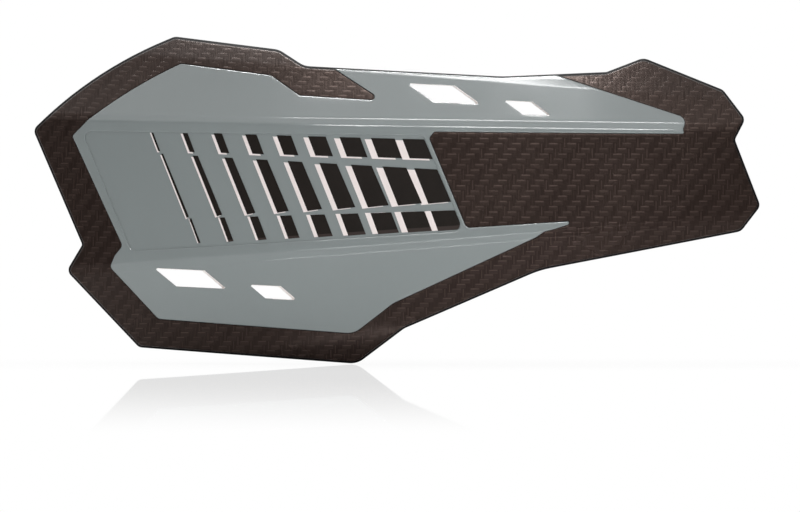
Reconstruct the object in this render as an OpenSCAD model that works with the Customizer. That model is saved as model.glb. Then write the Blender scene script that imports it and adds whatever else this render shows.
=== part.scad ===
// Hand guard for a motorcycle handlebar: a bowed, moulded shield with a thin cover panel
// on its face, carried from behind by a bracket arm and a two-piece bar clamp.
// X runs along the handlebar towards the middle of the motorcycle, Y points back to the
// rider and Z points up. The origin is the centre of the clamp, on the handlebar's axis.

/* [Shield form] */
// Length of the shield, seen from the front
shield_len = 282; // [240:1:340]
// Height of the shield, seen from the front
shield_h = 127; // [106:1:152]
// Radius of the bow, seen from above
bow_r = 300; // [250:5:420]
// Where the bow comes furthest forward, from the middle of the shield
bow_peak_x = 40; // [10:1:60]
// Height of the upper fold above the middle line
upper_fold_z = 28.5; // [23:0.5:34]
// Fall of the upper fold towards the inner end, in degrees
upper_fold_tilt = 0.8; // [0:0.1:2]
// Lean of the upper flange past the fold, in degrees
upper_lean = 30; // [22:1:38]
// Depth of the lower fold under the middle line, below the peak of the bow
lower_fold_z = 13.2; // [10.5:0.1:16]
// Rise of the lower fold towards the inner end, in degrees
lower_fold_tilt = 4.7; // [3:0.1:6]
// Lean of the lower flange past the fold, in degrees
lower_lean = 28; // [20:1:36]
// Height of the narrow band that each fold is broken with
fold_band_h = 2.6; // [2:0.1:3.4]
// Height of the brow's crease above the middle line, at the peak of the bow
brow_z = 44.6; // [42:0.2:48]
// Fall of the brow's crease towards the inner end, in degrees
brow_slope = 4.4; // [3:0.1:5.5]
// How much further the brow leans than the upper flange, in degrees
brow_lean = 9; // [6:0.5:12]
// Depth of the heel's crease under the lower fold, at the peak of the bow
heel_z = 20.4; // [19:0.2:24]
// Rise of the heel's crease towards the inner end, in degrees
heel_slope = 10.4; // [9:0.2:12]
// How much further the heel leans than the lower flange, in degrees
heel_lean = 8; // [5:0.5:11]

/* [Shield section] */
// Thickness of the moulded wall
wall = 3; // [2.4:0.1:3.8]
// Depth to which the edge turns back, from the face
lip_depth = 9; // [7:0.5:12]
// Width and depth of the small step round the face
edge_step = 0.8; // [0.5:0.1:1.2]
// Thickness of the ribs behind the face
rib_t = 1.8; // [1.4:0.1:2.4]
// Height of the ribs above the inner wall
rib_h = 4; // [3:0.5:5]
// Distance between the slanted ribs
rib_pitch = 33; // [26:1:40]
// Distance of each long rib from its fold, inside the middle band
rib_from_fold = 6.5; // [4:0.5:8]

/* [Cover panel] */
// Thickness of the cover panel
cover_t = 1.2; // [1:0.1:1.6]
// How far the cover stands proud of the shield's face
cover_proud = 0.4; // [0.2:0.1:0.6]
// Play between the cover's edge and its pocket
cover_gap = 0.15; // [0.1:0.05:0.3]
// Depth of the shallow recess in the cover's middle
recess_depth = 0.5; // [0.3:0.1:0.6]

/* [Stripes] */
// Thickness of the printed film
film_t = 0.15; // [0.1:0.05:0.25]
// Number of stripes in each row
stripe_count = 9; // [5:1:9]
// Distance between the left edges of neighbouring stripes
stripe_pitch = 12.2; // [10.2:0.1:12.4]
// Width of the narrowest stripe
stripe_first_w = 0.8; // [0.5:0.1:1]
// How much wider each stripe is than the one before it
stripe_growth = 1.22; // [0.8:0.02:1.24]
// Width of the narrowest stripe's white flank
flank_first_w = 0.35; // [0.3:0.05:0.8]
// How much wider each white flank is than the one before it
flank_growth = 0.3; // [0.2:0.01:0.4]
// Drop of the white flank under its stripe
flank_drop = 0.5; // [0.3:0.1:0.9]

/* [Vents] */
// Width of the two large vents along their upper edge
large_vent_w = 18.1; // [14:0.1:20]
// Height of the large vents
large_vent_h = 6.5; // [5.2:0.1:7.6]
// Width of the two small vents along their upper edge
small_vent_w = 11.6; // [9:0.1:13]
// Height of the small vents
small_vent_h = 4.8; // [3.9:0.1:5.6]
// Sideways run of a vent's slanted ends for each unit of height
vent_slant = 1.41; // [1.1:0.01:1.6]
// Fall of the vents' upper edges towards the inner end, in degrees
vent_tilt = 2.8; // [0:0.1:5]
// Turn of the vents towards the outer end as they pass through the wall, in degrees
vent_rake = 14; // [0:1:20]
// Corner radius of the vents
vent_corner_r = 0.3; // [0.2:0.1:1]
// Thickness of the cover's collar that lines each vent through the wall
collar_t = 0.9; // [0.7:0.1:1.2]

/* [Bosses and inserts] */
// Place of the outer pair of bosses along the shield
outer_boss_x = 34; // [30:0.5:40]
// Height of the middle of the outer pair
outer_boss_z = 9; // [7:0.5:11]
// Distance between the two outer bosses
outer_boss_gap = 18; // [14:0.5:20]
// Place of the inner boss along the shield
inner_boss_x = 82.5; // [72:0.5:84]
// Height of the inner boss
inner_boss_z = 9; // [7:0.5:11]
// Outer radius of a boss
boss_r = 5.6; // [5:0.1:6.5]
// Distance of the bosses' rear faces behind the foremost line of the bow
boss_face_y = 17; // [15:0.5:20]
// Outer radius of a threaded insert
insert_r = 4; // [3.6:0.1:4.4]
// Length of a threaded insert
insert_len = 8; // [6.5:0.5:9]

/* [Bracket arm] */
// Thickness of the foot that bears on the bosses
foot_t = 6; // [5:0.5:8]
// Radius of the foot round each screw
foot_r = 8.5; // [7.5:0.5:10]
// Height of the arm
arm_h = 18; // [15:1:20]
// Half of the arm's width at its narrowest
arm_r = 7; // [6:0.5:8.5]
// Radius of the eye at the arm's end
eye_r = 10; // [9:0.5:12]
// Distance from the handlebar's axis to the eye's bolt
eye_to_bar = 34; // [31:0.5:40]
// Thickness of the arm's web, between the channels above and below it
web_t = 5; // [4:0.5:7]
// Thickness of the flanges beside the channels
channel_wall = 2.8; // [2.2:0.1:3.4]
// Outer radius of the steel sleeve in the eye
sleeve_r = 5.6; // [5.2:0.1:6.5]

/* [Bar clamp] */
// Diameter of the handlebar
bar_d = 22.2; // [19:0.1:26]
// Distance of the handlebar's axis behind the foremost line of the bow
bar_y = 94; // [85:1:110]
// Height of the handlebar's axis above the shield's middle line
bar_z = 13; // [11:0.5:15]
// Place of the clamp along the shield
clamp_x = 117; // [108:1:120]
// Width of the clamp along the handlebar
clamp_w = 20; // [17:0.5:24]
// Wall of the clamp round the handlebar
clamp_wall = 5.5; // [4.6:0.1:7]
// Gap between the clamp's halves
clamp_gap = 1.6; // [1:0.1:2.4]
// Distance from the bore's wall to the middle of a clamp screw
clamp_screw_out = 6.4; // [5.4:0.1:7.6]
// Thickness of each half at its screws
clamp_ear_t = 10; // [8.5:0.5:12]
// Thickness of the fork's cheeks
cheek_t = 5; // [4:0.5:6]
// Clearance between the arm's eye and each cheek
cheek_gap = 0.2; // [0.1:0.05:0.3]

/* [Fasteners] */
// Thread diameter of the shield and clamp screws
screw_d = 6; // [5:0.5:6.5]
// Length of the shield screws
shield_screw_len = 14; // [12:0.5:15]
// Radius of the button heads
button_r = 5.25; // [4.6:0.05:6]
// Height of the button heads
button_h = 3.3; // [2.8:0.1:4]
// Radius of the cap screws' heads
cap_head_r = 5; // [4.4:0.1:5.6]
// Height of the cap screws' heads
cap_head_h = 6; // [5:0.5:7]
// Thread diameter of the arm's bolt
bolt_d = 8; // [7:0.5:9]
// Width across the flats of the arm's nut and bolt head
bolt_flats = 13; // [11.5:0.5:15]
// Height of the arm's nut
nut_h = 6.5; // [5.5:0.5:7.5]
// Height of the bolt's hexagon head
hex_head_h = 5.3; // [4.5:0.1:6.5]
// Thickness of the washers
washer_t = 1.5; // [1.2:0.1:2]
// How far a washer reaches past the shank that it sits on
washer_rim = 3.2; // [2.8:0.1:3.8]
// How far a clamp screw's washer reaches past the screw's head
head_washer_rim = 0.5; // [0.3:0.1:0.8]
// Play between a shank and a plain hole, all round
hole_gap = 0.3; // [0.2:0.05:0.4]
// Play between a shank and its thread, all round
thread_gap = 0.05; // [0.03:0.01:0.08]

/* [Hidden] */
$fn = 96;

// Size at which the outline points below are set out
drawn_len = 282;
drawn_h = 127;
stretch_x = shield_len / drawn_len;
stretch_z = shield_h / drawn_h;

// Corners of the shield from the front, from the outer tip round by the upper edge:
// place along X, height Z and corner radius
shield_corners = [
    [-143.1, 27, 3.5], [-120, 50, 178], [-87.8, 63.4, 4], [-47.2, 58.5, 8],
    [-37.4, 52.2, 8], [40, 48.2, 60], [80.5, 49.9, 3], [95, 55.4, 5],
    [126, 42.9, 4], [134.7, 31.6, 3], [130.6, 23.6, 2], [140.6, -2.3, 3],
    [133, -12.2, 4], [54.6, -27.2, 40], [1.6, -50.1, 8], [-16.7, -64, 8],
    [-101.8, -57.8, 3], [-130, -28, 3], [-123.9, -17.7, 1.5]];

// Corners of the cover panel; its upper edge passes over the shield's and is trimmed there
cover_corners = [
    [-127.8, 24.7, 1], [-121.7, 31, 10], [-104.4, 44.1, 190], [-85.4, 53, 2],
    [-50.3, 48.6, 6], [-39.2, 40.8, 2], [-6.3, 38.8, 1.3], [-28, 52.8, 1],
    [-28, 58, 1], [53, 58, 1], [56.6, 50.2, 1], [112.1, 32, 3],
    [110.4, 27.9, 1], [110.8, 26, 0.5], [13.3, 26.9, 1], [11.3, 24.4, 1.5],
    [25.9, -10.7, 2.2], [66, -8.1, 0.5], [65.7, -9.3, 0.5], [60.8, -10.9, 2],
    [56.2, -12.1, 2], [52.8, -14.4, 4], [-2.7, -40.2, 8], [-18, -52.1, 8],
    [-94.2, -46.6, 2.5], [-113.1, -26.3, 2], [-111.2, -21.8, 1], [-108.2, -18, 2]];

// Corners of the shallow recess that holds the stripes
recess_corners = [
    [-124, 26.6, 2.5], [9, 25.4, 2.2], [25, -11.9, 3], [-104.9, -20, 2.5]];

// Middle of each vent, with its width and height
vents_at = [[17.2, 41.5, large_vent_w, large_vent_h], [49.7, 36, small_vent_w, small_vent_h],
    [-81.6, -30.7, large_vent_w, large_vent_h], [-49.6, -36, small_vent_w, small_vent_h]];

// Rows of stripes: upper edge and lower edge at the outer and at the inner end, the place
// of the first stripe's upper corner, the slant of the sides, the row's share of the pitch,
// and its share of the white flanks' drop
stripe_ends_x = [-95, 15];
stripe_rows = [
    [26.6, 23.7, 19, 16.1, -97.2, 0.38, 1.005, 1],
    [18.1, 12.1, -7.2, -0.7, -93.2, 0.4, 1.011, 1],
    [-7.6, -4, -17.6, -11.7, -82.2, 0.37, 0.965, 0]];

// Slanted ribs behind the face, and how many pitches the first lies before the middle
rib_count = 8;
ribs_before = 3.4;
// Ends of the long hole in the foot, as shares of the way from the outer to the inner boss
foot_hole_ends = [0.36, 0.62];
// Flat top and straight rim of a button head, as shares of its radius and height
button_flat = 0.55;
button_rim = 0.3;
// Keys that fit the button heads and the cap screws, and the depth of a button's socket
button_key = screw_d * 2 / 3;
cap_key = screw_d * 5 / 6;
button_socket_h = button_h * 2 / 3;
// How much wider the arm gets towards the eye
arm_flare = 1;

// How far a rounded corner's chords may lie inside its arc
corner_sag = 0.05;
// How far cutting shapes reach past what they cut
over = 1;
// Extent of the blocks that the face is cut from, further where the drawing is stretched
reach = shield_h * max(1, stretch_z);
// Depth of a block that holds the whole shield
slab_depth = bow_r / 3;

pocket_depth = cover_t - cover_proud;
recess_floor = recess_depth - cover_proud;
boss_points = [
    [outer_boss_x, outer_boss_z + outer_boss_gap / 2],
    [outer_boss_x, outer_boss_z - outer_boss_gap / 2],
    [inner_boss_x, inner_boss_z]];
screw_r = screw_d / 2;
bolt_r = bolt_d / 2;
bar_r = bar_d / 2;
foot_back_y = boss_face_y + foot_t;
eye_y = bar_y - eye_to_bar;
clamp_screw_z = bar_r + clamp_screw_out;
clamp_washer_r = cap_head_r + head_washer_rim;
arm_root_x = inner_boss_x + foot_r + arm_r;
arm_elbow = [clamp_x - arm_r, eye_y - eye_r - 2 * arm_r];
cheek_in = arm_h / 2 + cheek_gap;
cheek_out = cheek_in + cheek_t;

function unit(v) = v / norm(v);
function turned(v, a) = [v[0] * cos(a) - v[1] * sin(a), v[0] * sin(a) + v[1] * cos(a)];
function flat(p) = [p[0] * stretch_x, p[1] * stretch_z];
function at(pts, i) = pts[(i + len(pts)) % len(pts)];

// Half of the angle inside the corner i, and the length that its radius asks of each side
function half_angle(pts, i) =
    let (b = flat(at(pts, i)), u = unit(flat(at(pts, i - 1)) - b), v = unit(flat(at(pts, i + 1)) - b))
    acos(u * v) / 2;
function wanted(pts, i) = at(pts, i)[2] / tan(half_angle(pts, i));

// The length that corner i gets of the side to corner j, shared where both ask for more
function shared(pts, i, j) =
    norm(flat(at(pts, j)) - flat(at(pts, i))) * wanted(pts, i) / (wanted(pts, i) + wanted(pts, j));

// The points of a rounded corner
function corner(pts, i) =
    let (
        b = flat(at(pts, i)),
        u = unit(flat(at(pts, i - 1)) - b),
        v = unit(flat(at(pts, i + 1)) - b),
        half = half_angle(pts, i),
        run = min(wanted(pts, i), shared(pts, i, i - 1), shared(pts, i, i + 1)),
        centre = b + unit(u + v) * run / cos(half),
        turn = (180 - 2 * half) * (u[0] * v[1] - u[1] * v[0] > 0 ? -1 : 1),
        steps = max(2, ceil(abs(turn) / (2 * acos(1 - corner_sag / max(at(pts, i)[2], 2 * corner_sag))))))
    [for (k = [0:steps]) centre + turned(b + u * run - centre, turn * k / steps)];

// A closed outline with its corners rounded
function rounded(pts) = [for (i = [0:len(pts) - 1]) each corner(pts, i)];

// A straight line's height at x, from its heights at the two ends of the stripe rows
function line_at(outer, inner, x) =
    outer + (inner - outer) * (x - stripe_ends_x[0]) / (stripe_ends_x[1] - stripe_ends_x[0]);

// The four corners of stripe k in a row
function stripe(row, k) =
    let (
        x = row[4] + k * stripe_pitch * row[6],
        w = stripe_first_w + k * stripe_growth,
        top = line_at(row[0], row[1], x),
        foot = line_at(row[2], row[3], x),
        run = (top - foot) * row[5])
    [[x, top], [x + w, line_at(row[0], row[1], x + w)],
     [x + w + run, line_at(row[2], row[3], x + w + run)], [x + run, foot]];

// Turns a flat outline in X and Z into a block along Y
module block(from = -over, to = slab_depth)
    translate([0, to, 0])
        rotate([90, 0, 0])
            linear_extrude(to - from)
                children();

// A cylinder along Y
module peg(r, from, to, x = 0, z = 0)
    translate([x, to, z])
        rotate([90, 0, 0])
            cylinder(r = r, h = to - from);

// Everything behind a flange that leans back past its fold, set in by d from the face
module flange(lean, d)
    rotate_extrude($fn = 180)
        polygon([
            [0, -reach],
            [bow_r + reach * tan(lean / 2) - d / cos(lean / 2), -reach],
            [bow_r - fold_band_h * tan(lean / 2) - d * cos(3 * lean / 4) / cos(lean / 4),
             fold_band_h - d * sin(3 * lean / 4) / cos(lean / 4)],
            [bow_r - fold_band_h * tan(lean / 2) - (reach - fold_band_h) * tan(lean) - d / cos(lean),
             reach],
            [0, reach]]);

// Everything behind a cone that leans back further than its flange, past a crease at the given
// rise above the fold. Its axis is shifted so that the crease keeps its slope on the flange.
module facet(fold_lean, fold_tilt, rise, slope, more, d) {
    lean = fold_lean + more;
    flange_r = bow_r - fold_band_h * tan(fold_lean / 2) - (rise - fold_band_h) * tan(fold_lean);
    translate([tan(fold_lean) * tan(slope - fold_tilt) * bow_r, 0, rise])
        rotate([0, slope, 0])
            rotate_extrude($fn = 180)
                polygon([
                    [0, -reach], [flange_r + reach * tan(lean) - d / cos(lean), -reach],
                    [flange_r - reach * tan(lean) - d / cos(lean), reach], [0, reach]]);
}

// The brow along the upper edge, and the heel at the lower corner
module brow(d)
    facet(upper_lean, upper_fold_tilt, (brow_z - upper_fold_z) * stretch_z, brow_slope, brow_lean, d);

module heel(d)
    facet(lower_lean, lower_fold_tilt, heel_z * stretch_z, heel_slope, heel_lean, d);

// Everything behind the shield's face, set in by d
module behind_face(d = 0)
    intersection() {
        translate([bow_peak_x * stretch_x, bow_r, -reach])
            cylinder(r = bow_r - d, h = 2 * reach, $fn = 180);
        translate([bow_peak_x * stretch_x, bow_r, upper_fold_z * stretch_z])
            intersection() {
                rotate([0, upper_fold_tilt, 0])
                    flange(upper_lean, d);
                brow(d);
            }
        translate([bow_peak_x * stretch_x, bow_r, -lower_fold_z * stretch_z])
            mirror([0, 0, 1])
                intersection() {
                    rotate([0, lower_fold_tilt, 0])
                        flange(lower_lean, d);
                    heel(d);
                }
    }

// The part of the children between two depths behind the face
module layer(near, far)
    difference() {
        intersection() {
            children();
            behind_face(near);
        }
        behind_face(far);
    }

// Moves the shield's drawing to the clamp's centre
module in_bar_frame()
    translate([-clamp_x, -bar_y, -bar_z])
        children();

module shield_outline() polygon(rounded(shield_corners));

module cover_outline()
    intersection() {
        polygon(rounded(cover_corners));
        offset(delta = -edge_step / 2) shield_outline();
    }

module recess_outline() polygon(rounded(recess_corners));

// Depth of the bow's face at x
function bow_depth(x) = bow_r - sqrt(bow_r * bow_r - pow(x - bow_peak_x * stretch_x, 2));

// Depth of a flange's face at x and the height z, past its fold
function flange_depth(x, z) =
    bow_depth(x) + (z > 0
        ? (z - upper_fold_z * stretch_z - fold_band_h / 2) * tan(upper_lean)
        : (-z - lower_fold_z * stretch_z + (x - bow_peak_x * stretch_x) * tan(lower_fold_tilt)
            - fold_band_h / 2) * tan(lower_lean));

// One slanted vent, cut along a line that is turned towards the outer end
module vent(v, grow = 0) {
    p = flat(v);
    run = v[3] * vent_slant;
    translate([p[0], flange_depth(p[0], p[1]), p[1]])
        rotate([0, vent_tilt, vent_rake])
            block(-slab_depth / 2, slab_depth / 2)
                offset(r = vent_corner_r + grow, $fn = 24)
                    offset(delta = -vent_corner_r)
                        polygon([[-(v[2] + run) / 2, v[3] / 2], [(v[2] - run) / 2, v[3] / 2],
                            [(v[2] + run) / 2, -v[3] / 2], [(run - v[2]) / 2, -v[3] / 2]]);
}

module vents(grow = 0)
    for (v = vents_at)
        vent(v, grow);

module base_shell() color("#2e2624") in_bar_frame()
    difference() {
        union() {
            difference() {
                union() {
                    intersection() {
                        block() offset(delta = -edge_step) shield_outline();
                        behind_face();
                    }
                    intersection() {
                        block() shield_outline();
                        behind_face(edge_step);
                    }
                }
                intersection() {
                    block() offset(delta = -wall) shield_outline();
                    behind_face(wall);
                }
                behind_face(lip_depth);
            }
            shield_ribs();
            shield_bosses();
        }
        difference() {
            block() offset(delta = cover_gap) cover_outline();
            behind_face(pocket_depth);
        }
        for (p = boss_points)
            peg(insert_r, boss_face_y - insert_len, boss_face_y + over, p[0], p[1]);
        vents(collar_t + cover_gap);
    }

// Slanted and long ribs on the back of the face
module shield_ribs()
    layer(wall / 2, wall + rib_h)
        block()
            intersection() {
                offset(delta = -wall / 2) shield_outline();
                rib_pattern();
            }

module rib_pattern() {
    slant = stripe_rows[1][5];
    first = -ribs_before * rib_pitch;
    for (k = [0:rib_count - 1])
        translate([(first + k * rib_pitch) * stretch_x, 0])
            polygon([[-reach * slant - rib_t / 2, reach], [-reach * slant + rib_t / 2, reach],
                [reach * slant + rib_t / 2, -reach], [reach * slant - rib_t / 2, -reach]]);
    long_rib(upper_fold_z * stretch_z - rib_from_fold, -upper_fold_tilt);
    long_rib(-lower_fold_z * stretch_z + rib_from_fold, lower_fold_tilt);
}

// A rib along the shield at height z under the bow's peak
module long_rib(z, tilt)
    translate([bow_peak_x * stretch_x, z])
        rotate(tilt)
            square([2 * shield_len, rib_t], center = true);

module shield_bosses()
    intersection() {
        for (p = boss_points)
            peg(boss_r, -over, boss_face_y, p[0], p[1]);
        behind_face(wall / 2);
    }

module cover_panel() color("#87908f") in_bar_frame()
    difference() {
        union() {
            layer(-cover_proud, pocket_depth)
                block(-2 * over) cover_outline();
            layer(0, wall)
                vents(collar_t);
        }
        difference() {
            block(-3 * over) recess_outline();
            behind_face(recess_floor);
        }
        vents();
    }

// All stripes of the three rows, or their white flanks, which lie further out and lower
module stripe_cells(out = 0, drop = 0)
    for (row = stripe_rows)
        for (k = [0:stripe_count - 1])
            translate([-out * (flank_first_w + k * flank_growth), -drop * row[7]])
                polygon([for (p = stripe(row, k)) flat(p)]);

module stripe_field_black() color("#25201c") in_bar_frame()
    layer(recess_floor - film_t, recess_floor)
        block(-2 * over)
            intersection() {
                stripe_cells();
                offset(delta = -cover_gap) recess_outline();
            }

module stripe_field_white() color("#e8dedc") in_bar_frame()
    layer(recess_floor - film_t, recess_floor)
        block(-2 * over)
            difference() {
                intersection() {
                    stripe_cells(1, flank_drop);
                    offset(delta = -cover_gap) recess_outline();
                }
                stripe_cells();
            }

module threaded_inserts() color("#b5924c") in_bar_frame()
    for (p = boss_points)
        difference() {
            peg(insert_r, boss_face_y - insert_len, boss_face_y, p[0], p[1]);
            peg(screw_r + thread_gap, boss_face_y - insert_len - over, boss_face_y + over, p[0], p[1]);
        }

// Hexagonal bar along Z, flats at the given distance
module hexagon(flats, h)
    cylinder(d = flats / cos(30), h = h, $fn = 6);

// A flat ring along Z
module ring(outer, inner, h)
    difference() {
        cylinder(r = outer, h = h);
        translate([0, 0, -over])
            cylinder(r = inner, h = h + 2 * over);
    }

// The foot's outline from the front: the bosses and the root of the arm in one plate
module foot_outline()
    hull() {
        for (p = boss_points)
            translate(p)
                circle(foot_r);
        translate([arm_root_x, bar_z])
            circle(foot_r);
    }

// The arm's outline from above: root, elbow and eye
module arm_outline(inset = 0) {
    hull() {
        translate([arm_root_x, foot_back_y - foot_t / 2]) circle(arm_r - inset);
        translate([arm_elbow[0], arm_elbow[1]]) circle(arm_r - inset);
    }
    hull() {
        translate([arm_elbow[0], arm_elbow[1]]) circle(arm_r - inset);
        translate([clamp_x, eye_y]) circle(arm_r + arm_flare - inset);
    }
}

module bracket_arm() color("#1f1f20") in_bar_frame()
    difference() {
        union() {
            block(boss_face_y, foot_back_y) foot_outline();
            translate([0, 0, bar_z - arm_h / 2])
                linear_extrude(arm_h)
                    difference() {
                        arm_outline();
                        translate([clamp_x - 2 * reach, boss_face_y - reach])
                            square([4 * reach, reach]);
                    }
            translate([clamp_x, eye_y, bar_z - arm_h / 2])
                cylinder(r = eye_r, h = arm_h);
        }
        difference() {
            translate([0, 0, bar_z - reach])
                linear_extrude(2 * reach)
                    difference() {
                        arm_outline(channel_wall);
                        translate([clamp_x, eye_y]) circle(eye_r);
                        translate([0, foot_back_y + channel_wall - reach])
                            square([2 * reach, reach]);
                    }
            translate([0, 0, bar_z])
                cube([4 * reach, 4 * reach, web_t], center = true);
        }
        for (p = boss_points)
            peg(screw_r + hole_gap, boss_face_y - over, foot_back_y + over, p[0], p[1]);
        hull() {
            for (share = foot_hole_ends)
                peg(foot_r / 2, boss_face_y - over, foot_back_y + over,
                    outer_boss_x + share * (inner_boss_x - outer_boss_x), outer_boss_z);
        }
        translate([clamp_x, eye_y, bar_z - reach])
            cylinder(r = sleeve_r, h = 2 * reach);
    }

module shield_screws() color("#8f9194") in_bar_frame()
    for (p = boss_points)
        translate([p[0], foot_back_y + washer_t, p[1]])
            rotate([-90, 0, 0]) {
                difference() {
                    button_head();
                    translate([0, 0, button_h - button_socket_h])
                        hexagon(button_key, button_h);
                }
                translate([0, 0, -shield_screw_len])
                    cylinder(r = screw_r, h = shield_screw_len);
            }

// A button head with a domed edge, standing on its bearing face
module button_head()
    rotate_extrude()
        polygon([[0, 0], [button_r, 0], [button_r, button_h * button_rim],
            for (a = [15:15:75])
                [button_r * (button_flat + (1 - button_flat) * cos(a)),
                 button_h * (button_rim + (1 - button_rim) * sin(a))],
            [button_r * button_flat, button_h], [0, button_h]]);

module shield_washers() color("#a7a9ab") in_bar_frame()
    for (p = boss_points)
        translate([p[0], foot_back_y, p[1]])
            rotate([-90, 0, 0])
                ring(screw_r + washer_rim, screw_r + hole_gap, washer_t);

module at_eye()
    translate([clamp_x, eye_y, bar_z])
        children();

module eye_sleeve() color("#a0a2a5") in_bar_frame()
    at_eye()
        translate([0, 0, -cheek_in])
            ring(sleeve_r, bolt_r + hole_gap, 2 * cheek_in);

module arm_bolt() color("#85878a") in_bar_frame()
    at_eye() {
        translate([0, 0, cheek_out + washer_t])
            hexagon(bolt_flats, hex_head_h);
        translate([0, 0, -cheek_out - washer_t - nut_h - over])
            cylinder(r = bolt_r, h = 2 * (cheek_out + washer_t) + nut_h + over);
    }

module arm_washers() color("#a7a9ab") in_bar_frame()
    at_eye()
        for (z = [cheek_out, -cheek_out - washer_t])
            translate([0, 0, z])
                ring(bolt_r + washer_rim, bolt_r + hole_gap, washer_t);

module arm_nut() color("#8d8f92") in_bar_frame()
    at_eye()
        translate([0, 0, -cheek_out - washer_t - nut_h])
            difference() {
                hexagon(bolt_flats, nut_h);
                translate([0, 0, -over])
                    cylinder(r = bolt_r + thread_gap, h = nut_h + 2 * over);
            }

// Moves a profile drawn in Y and Z, as seen along the handlebar, to the clamp
module at_bar(w)
    translate([clamp_x - w / 2, bar_y, bar_z])
        rotate([90, 0, 90])
            linear_extrude(w)
                children();

// Both halves of the clamp in profile
module clamp_profile()
    difference() {
        union() {
            circle(bar_r + clamp_wall);
            hull()
                for (z = [-1, 1])
                    translate([0, z * (clamp_screw_z + clamp_washer_r - clamp_ear_t)])
                        circle(clamp_ear_t);
        }
        circle(bar_r);
    }

// The half of the clamp on one side of the gap: -1 in front, 1 behind
module clamp_half(side)
    at_bar(clamp_w)
        intersection() {
            clamp_profile();
            translate([side * (reach + clamp_gap / 2), 0])
                square(2 * reach, center = true);
        }

module clamp_body() color("#5b5d60") in_bar_frame()
    difference() {
        union() {
            clamp_half(-1);
            for (z = [cheek_in, -cheek_out])
                translate([0, 0, bar_z + z])
                    linear_extrude(cheek_t)
                        difference() {
                            hull() {
                                translate([clamp_x, eye_y]) circle(eye_r);
                                translate([clamp_x - clamp_w / 2, bar_y - clamp_ear_t - over])
                                    square([clamp_w, over]);
                            }
                            translate([clamp_x, eye_y]) circle(bolt_r + hole_gap);
                        }
            for (z = [cheek_in, -cheek_out])
                translate([clamp_x - clamp_w / 2, bar_y - clamp_ear_t - over, bar_z + z])
                    cube([clamp_w, clamp_ear_t - bar_r / 2, cheek_t]);
        }
        for (side = [-1, 1])
            translate([0, 0, side * clamp_screw_z])
                peg(screw_r + thread_gap, bar_y - clamp_ear_t - over, bar_y + over, clamp_x, bar_z);
        translate([clamp_x - clamp_w, bar_y, bar_z])
            rotate([0, 90, 0])
                cylinder(r = bar_r, h = 2 * clamp_w);
    }

// The rear half of the clamp, with a spot face round each screw for its washer
module clamp_cap() color("#5b5d60") in_bar_frame()
    difference() {
        clamp_half(1);
        for (side = [-1, 1])
            translate([0, 0, side * clamp_screw_z]) {
                peg(screw_r + hole_gap, bar_y - over, bar_y + clamp_ear_t + over, clamp_x, bar_z);
                peg(clamp_washer_r + hole_gap, bar_y + clamp_ear_t, bar_y + reach, clamp_x, bar_z);
            }
    }

module clamp_screws() color("#808285") in_bar_frame()
    for (side = [-1, 1])
        translate([clamp_x, bar_y + clamp_ear_t + washer_t, bar_z + side * clamp_screw_z])
            rotate([-90, 0, 0]) {
                difference() {
                    cylinder(r = cap_head_r, h = cap_head_h);
                    translate([0, 0, cap_head_h / 2])
                        hexagon(cap_key, cap_head_h);
                }
                translate([0, 0, -2 * clamp_ear_t - washer_t])
                    cylinder(r = screw_r, h = 2 * clamp_ear_t + washer_t);
            }

module clamp_washers() color("#a7a9ab") in_bar_frame()
    for (side = [-1, 1])
        translate([clamp_x, bar_y + clamp_ear_t, bar_z + side * clamp_screw_z])
            rotate([-90, 0, 0])
                ring(clamp_washer_r, screw_r + hole_gap, washer_t);

base_shell();
cover_panel();
stripe_field_black();
stripe_field_white();
threaded_inserts();
bracket_arm();
shield_screws();
shield_washers();
eye_sleeve();
arm_bolt();
arm_washers();
arm_nut();
clamp_body();
clamp_cap();
clamp_screws();
clamp_washers();
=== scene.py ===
"""Motorcycle hand guard: a bowed shield with a woven finish, its grey cover panel, the printed
stripes and the bracket and clamp that carry it, in a plain pale studio."""
import logging
import math
from collections.abc import Callable, Iterable, Sequence
from dataclasses import dataclass, field
from enum import Enum

import bmesh
import bpy
from mathutils import Matrix, Vector


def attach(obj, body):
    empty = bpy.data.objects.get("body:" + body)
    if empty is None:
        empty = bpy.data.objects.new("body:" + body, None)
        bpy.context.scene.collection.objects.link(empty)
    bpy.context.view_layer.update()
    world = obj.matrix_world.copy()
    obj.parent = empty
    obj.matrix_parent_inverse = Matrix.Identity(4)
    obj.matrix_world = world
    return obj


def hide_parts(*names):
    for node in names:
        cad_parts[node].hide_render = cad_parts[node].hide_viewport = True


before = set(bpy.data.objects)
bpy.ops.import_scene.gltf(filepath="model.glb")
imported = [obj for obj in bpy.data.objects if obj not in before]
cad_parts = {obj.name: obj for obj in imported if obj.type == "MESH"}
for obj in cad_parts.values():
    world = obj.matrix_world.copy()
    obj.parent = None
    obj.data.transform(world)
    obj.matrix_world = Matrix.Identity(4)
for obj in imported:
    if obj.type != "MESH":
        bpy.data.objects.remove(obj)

LOG = logging.getLogger("hand_guard")
BODY = "root"
MM = 0.001
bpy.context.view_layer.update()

Point = tuple[float, float]
Corner = tuple[float, float, float]
Pair = tuple[float, float]
Edges = tuple[float, float, float, float]
Tone = tuple[float, float, float, float]
Piece = bpy.types.Object
Mesh = bmesh.types.BMesh
Material = bpy.types.Material
Socket = bpy.types.NodeSocket


class Side(Enum):
    """How one solid meets another on the bench."""

    JOIN = "UNION"
    CUT = "DIFFERENCE"
    COMMON = "INTERSECT"


class Skin(Enum):
    """Material slots of a moulded piece: the finished face, the plain inside and the bare rim."""

    FACE = 0
    INSIDE = 1
    RIM = 2


class Shows(Enum):
    """What a lamp does: it lights the object, or it only shows in it as a highlight."""

    LIGHT = "light"
    GLINT = "glint"


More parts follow.
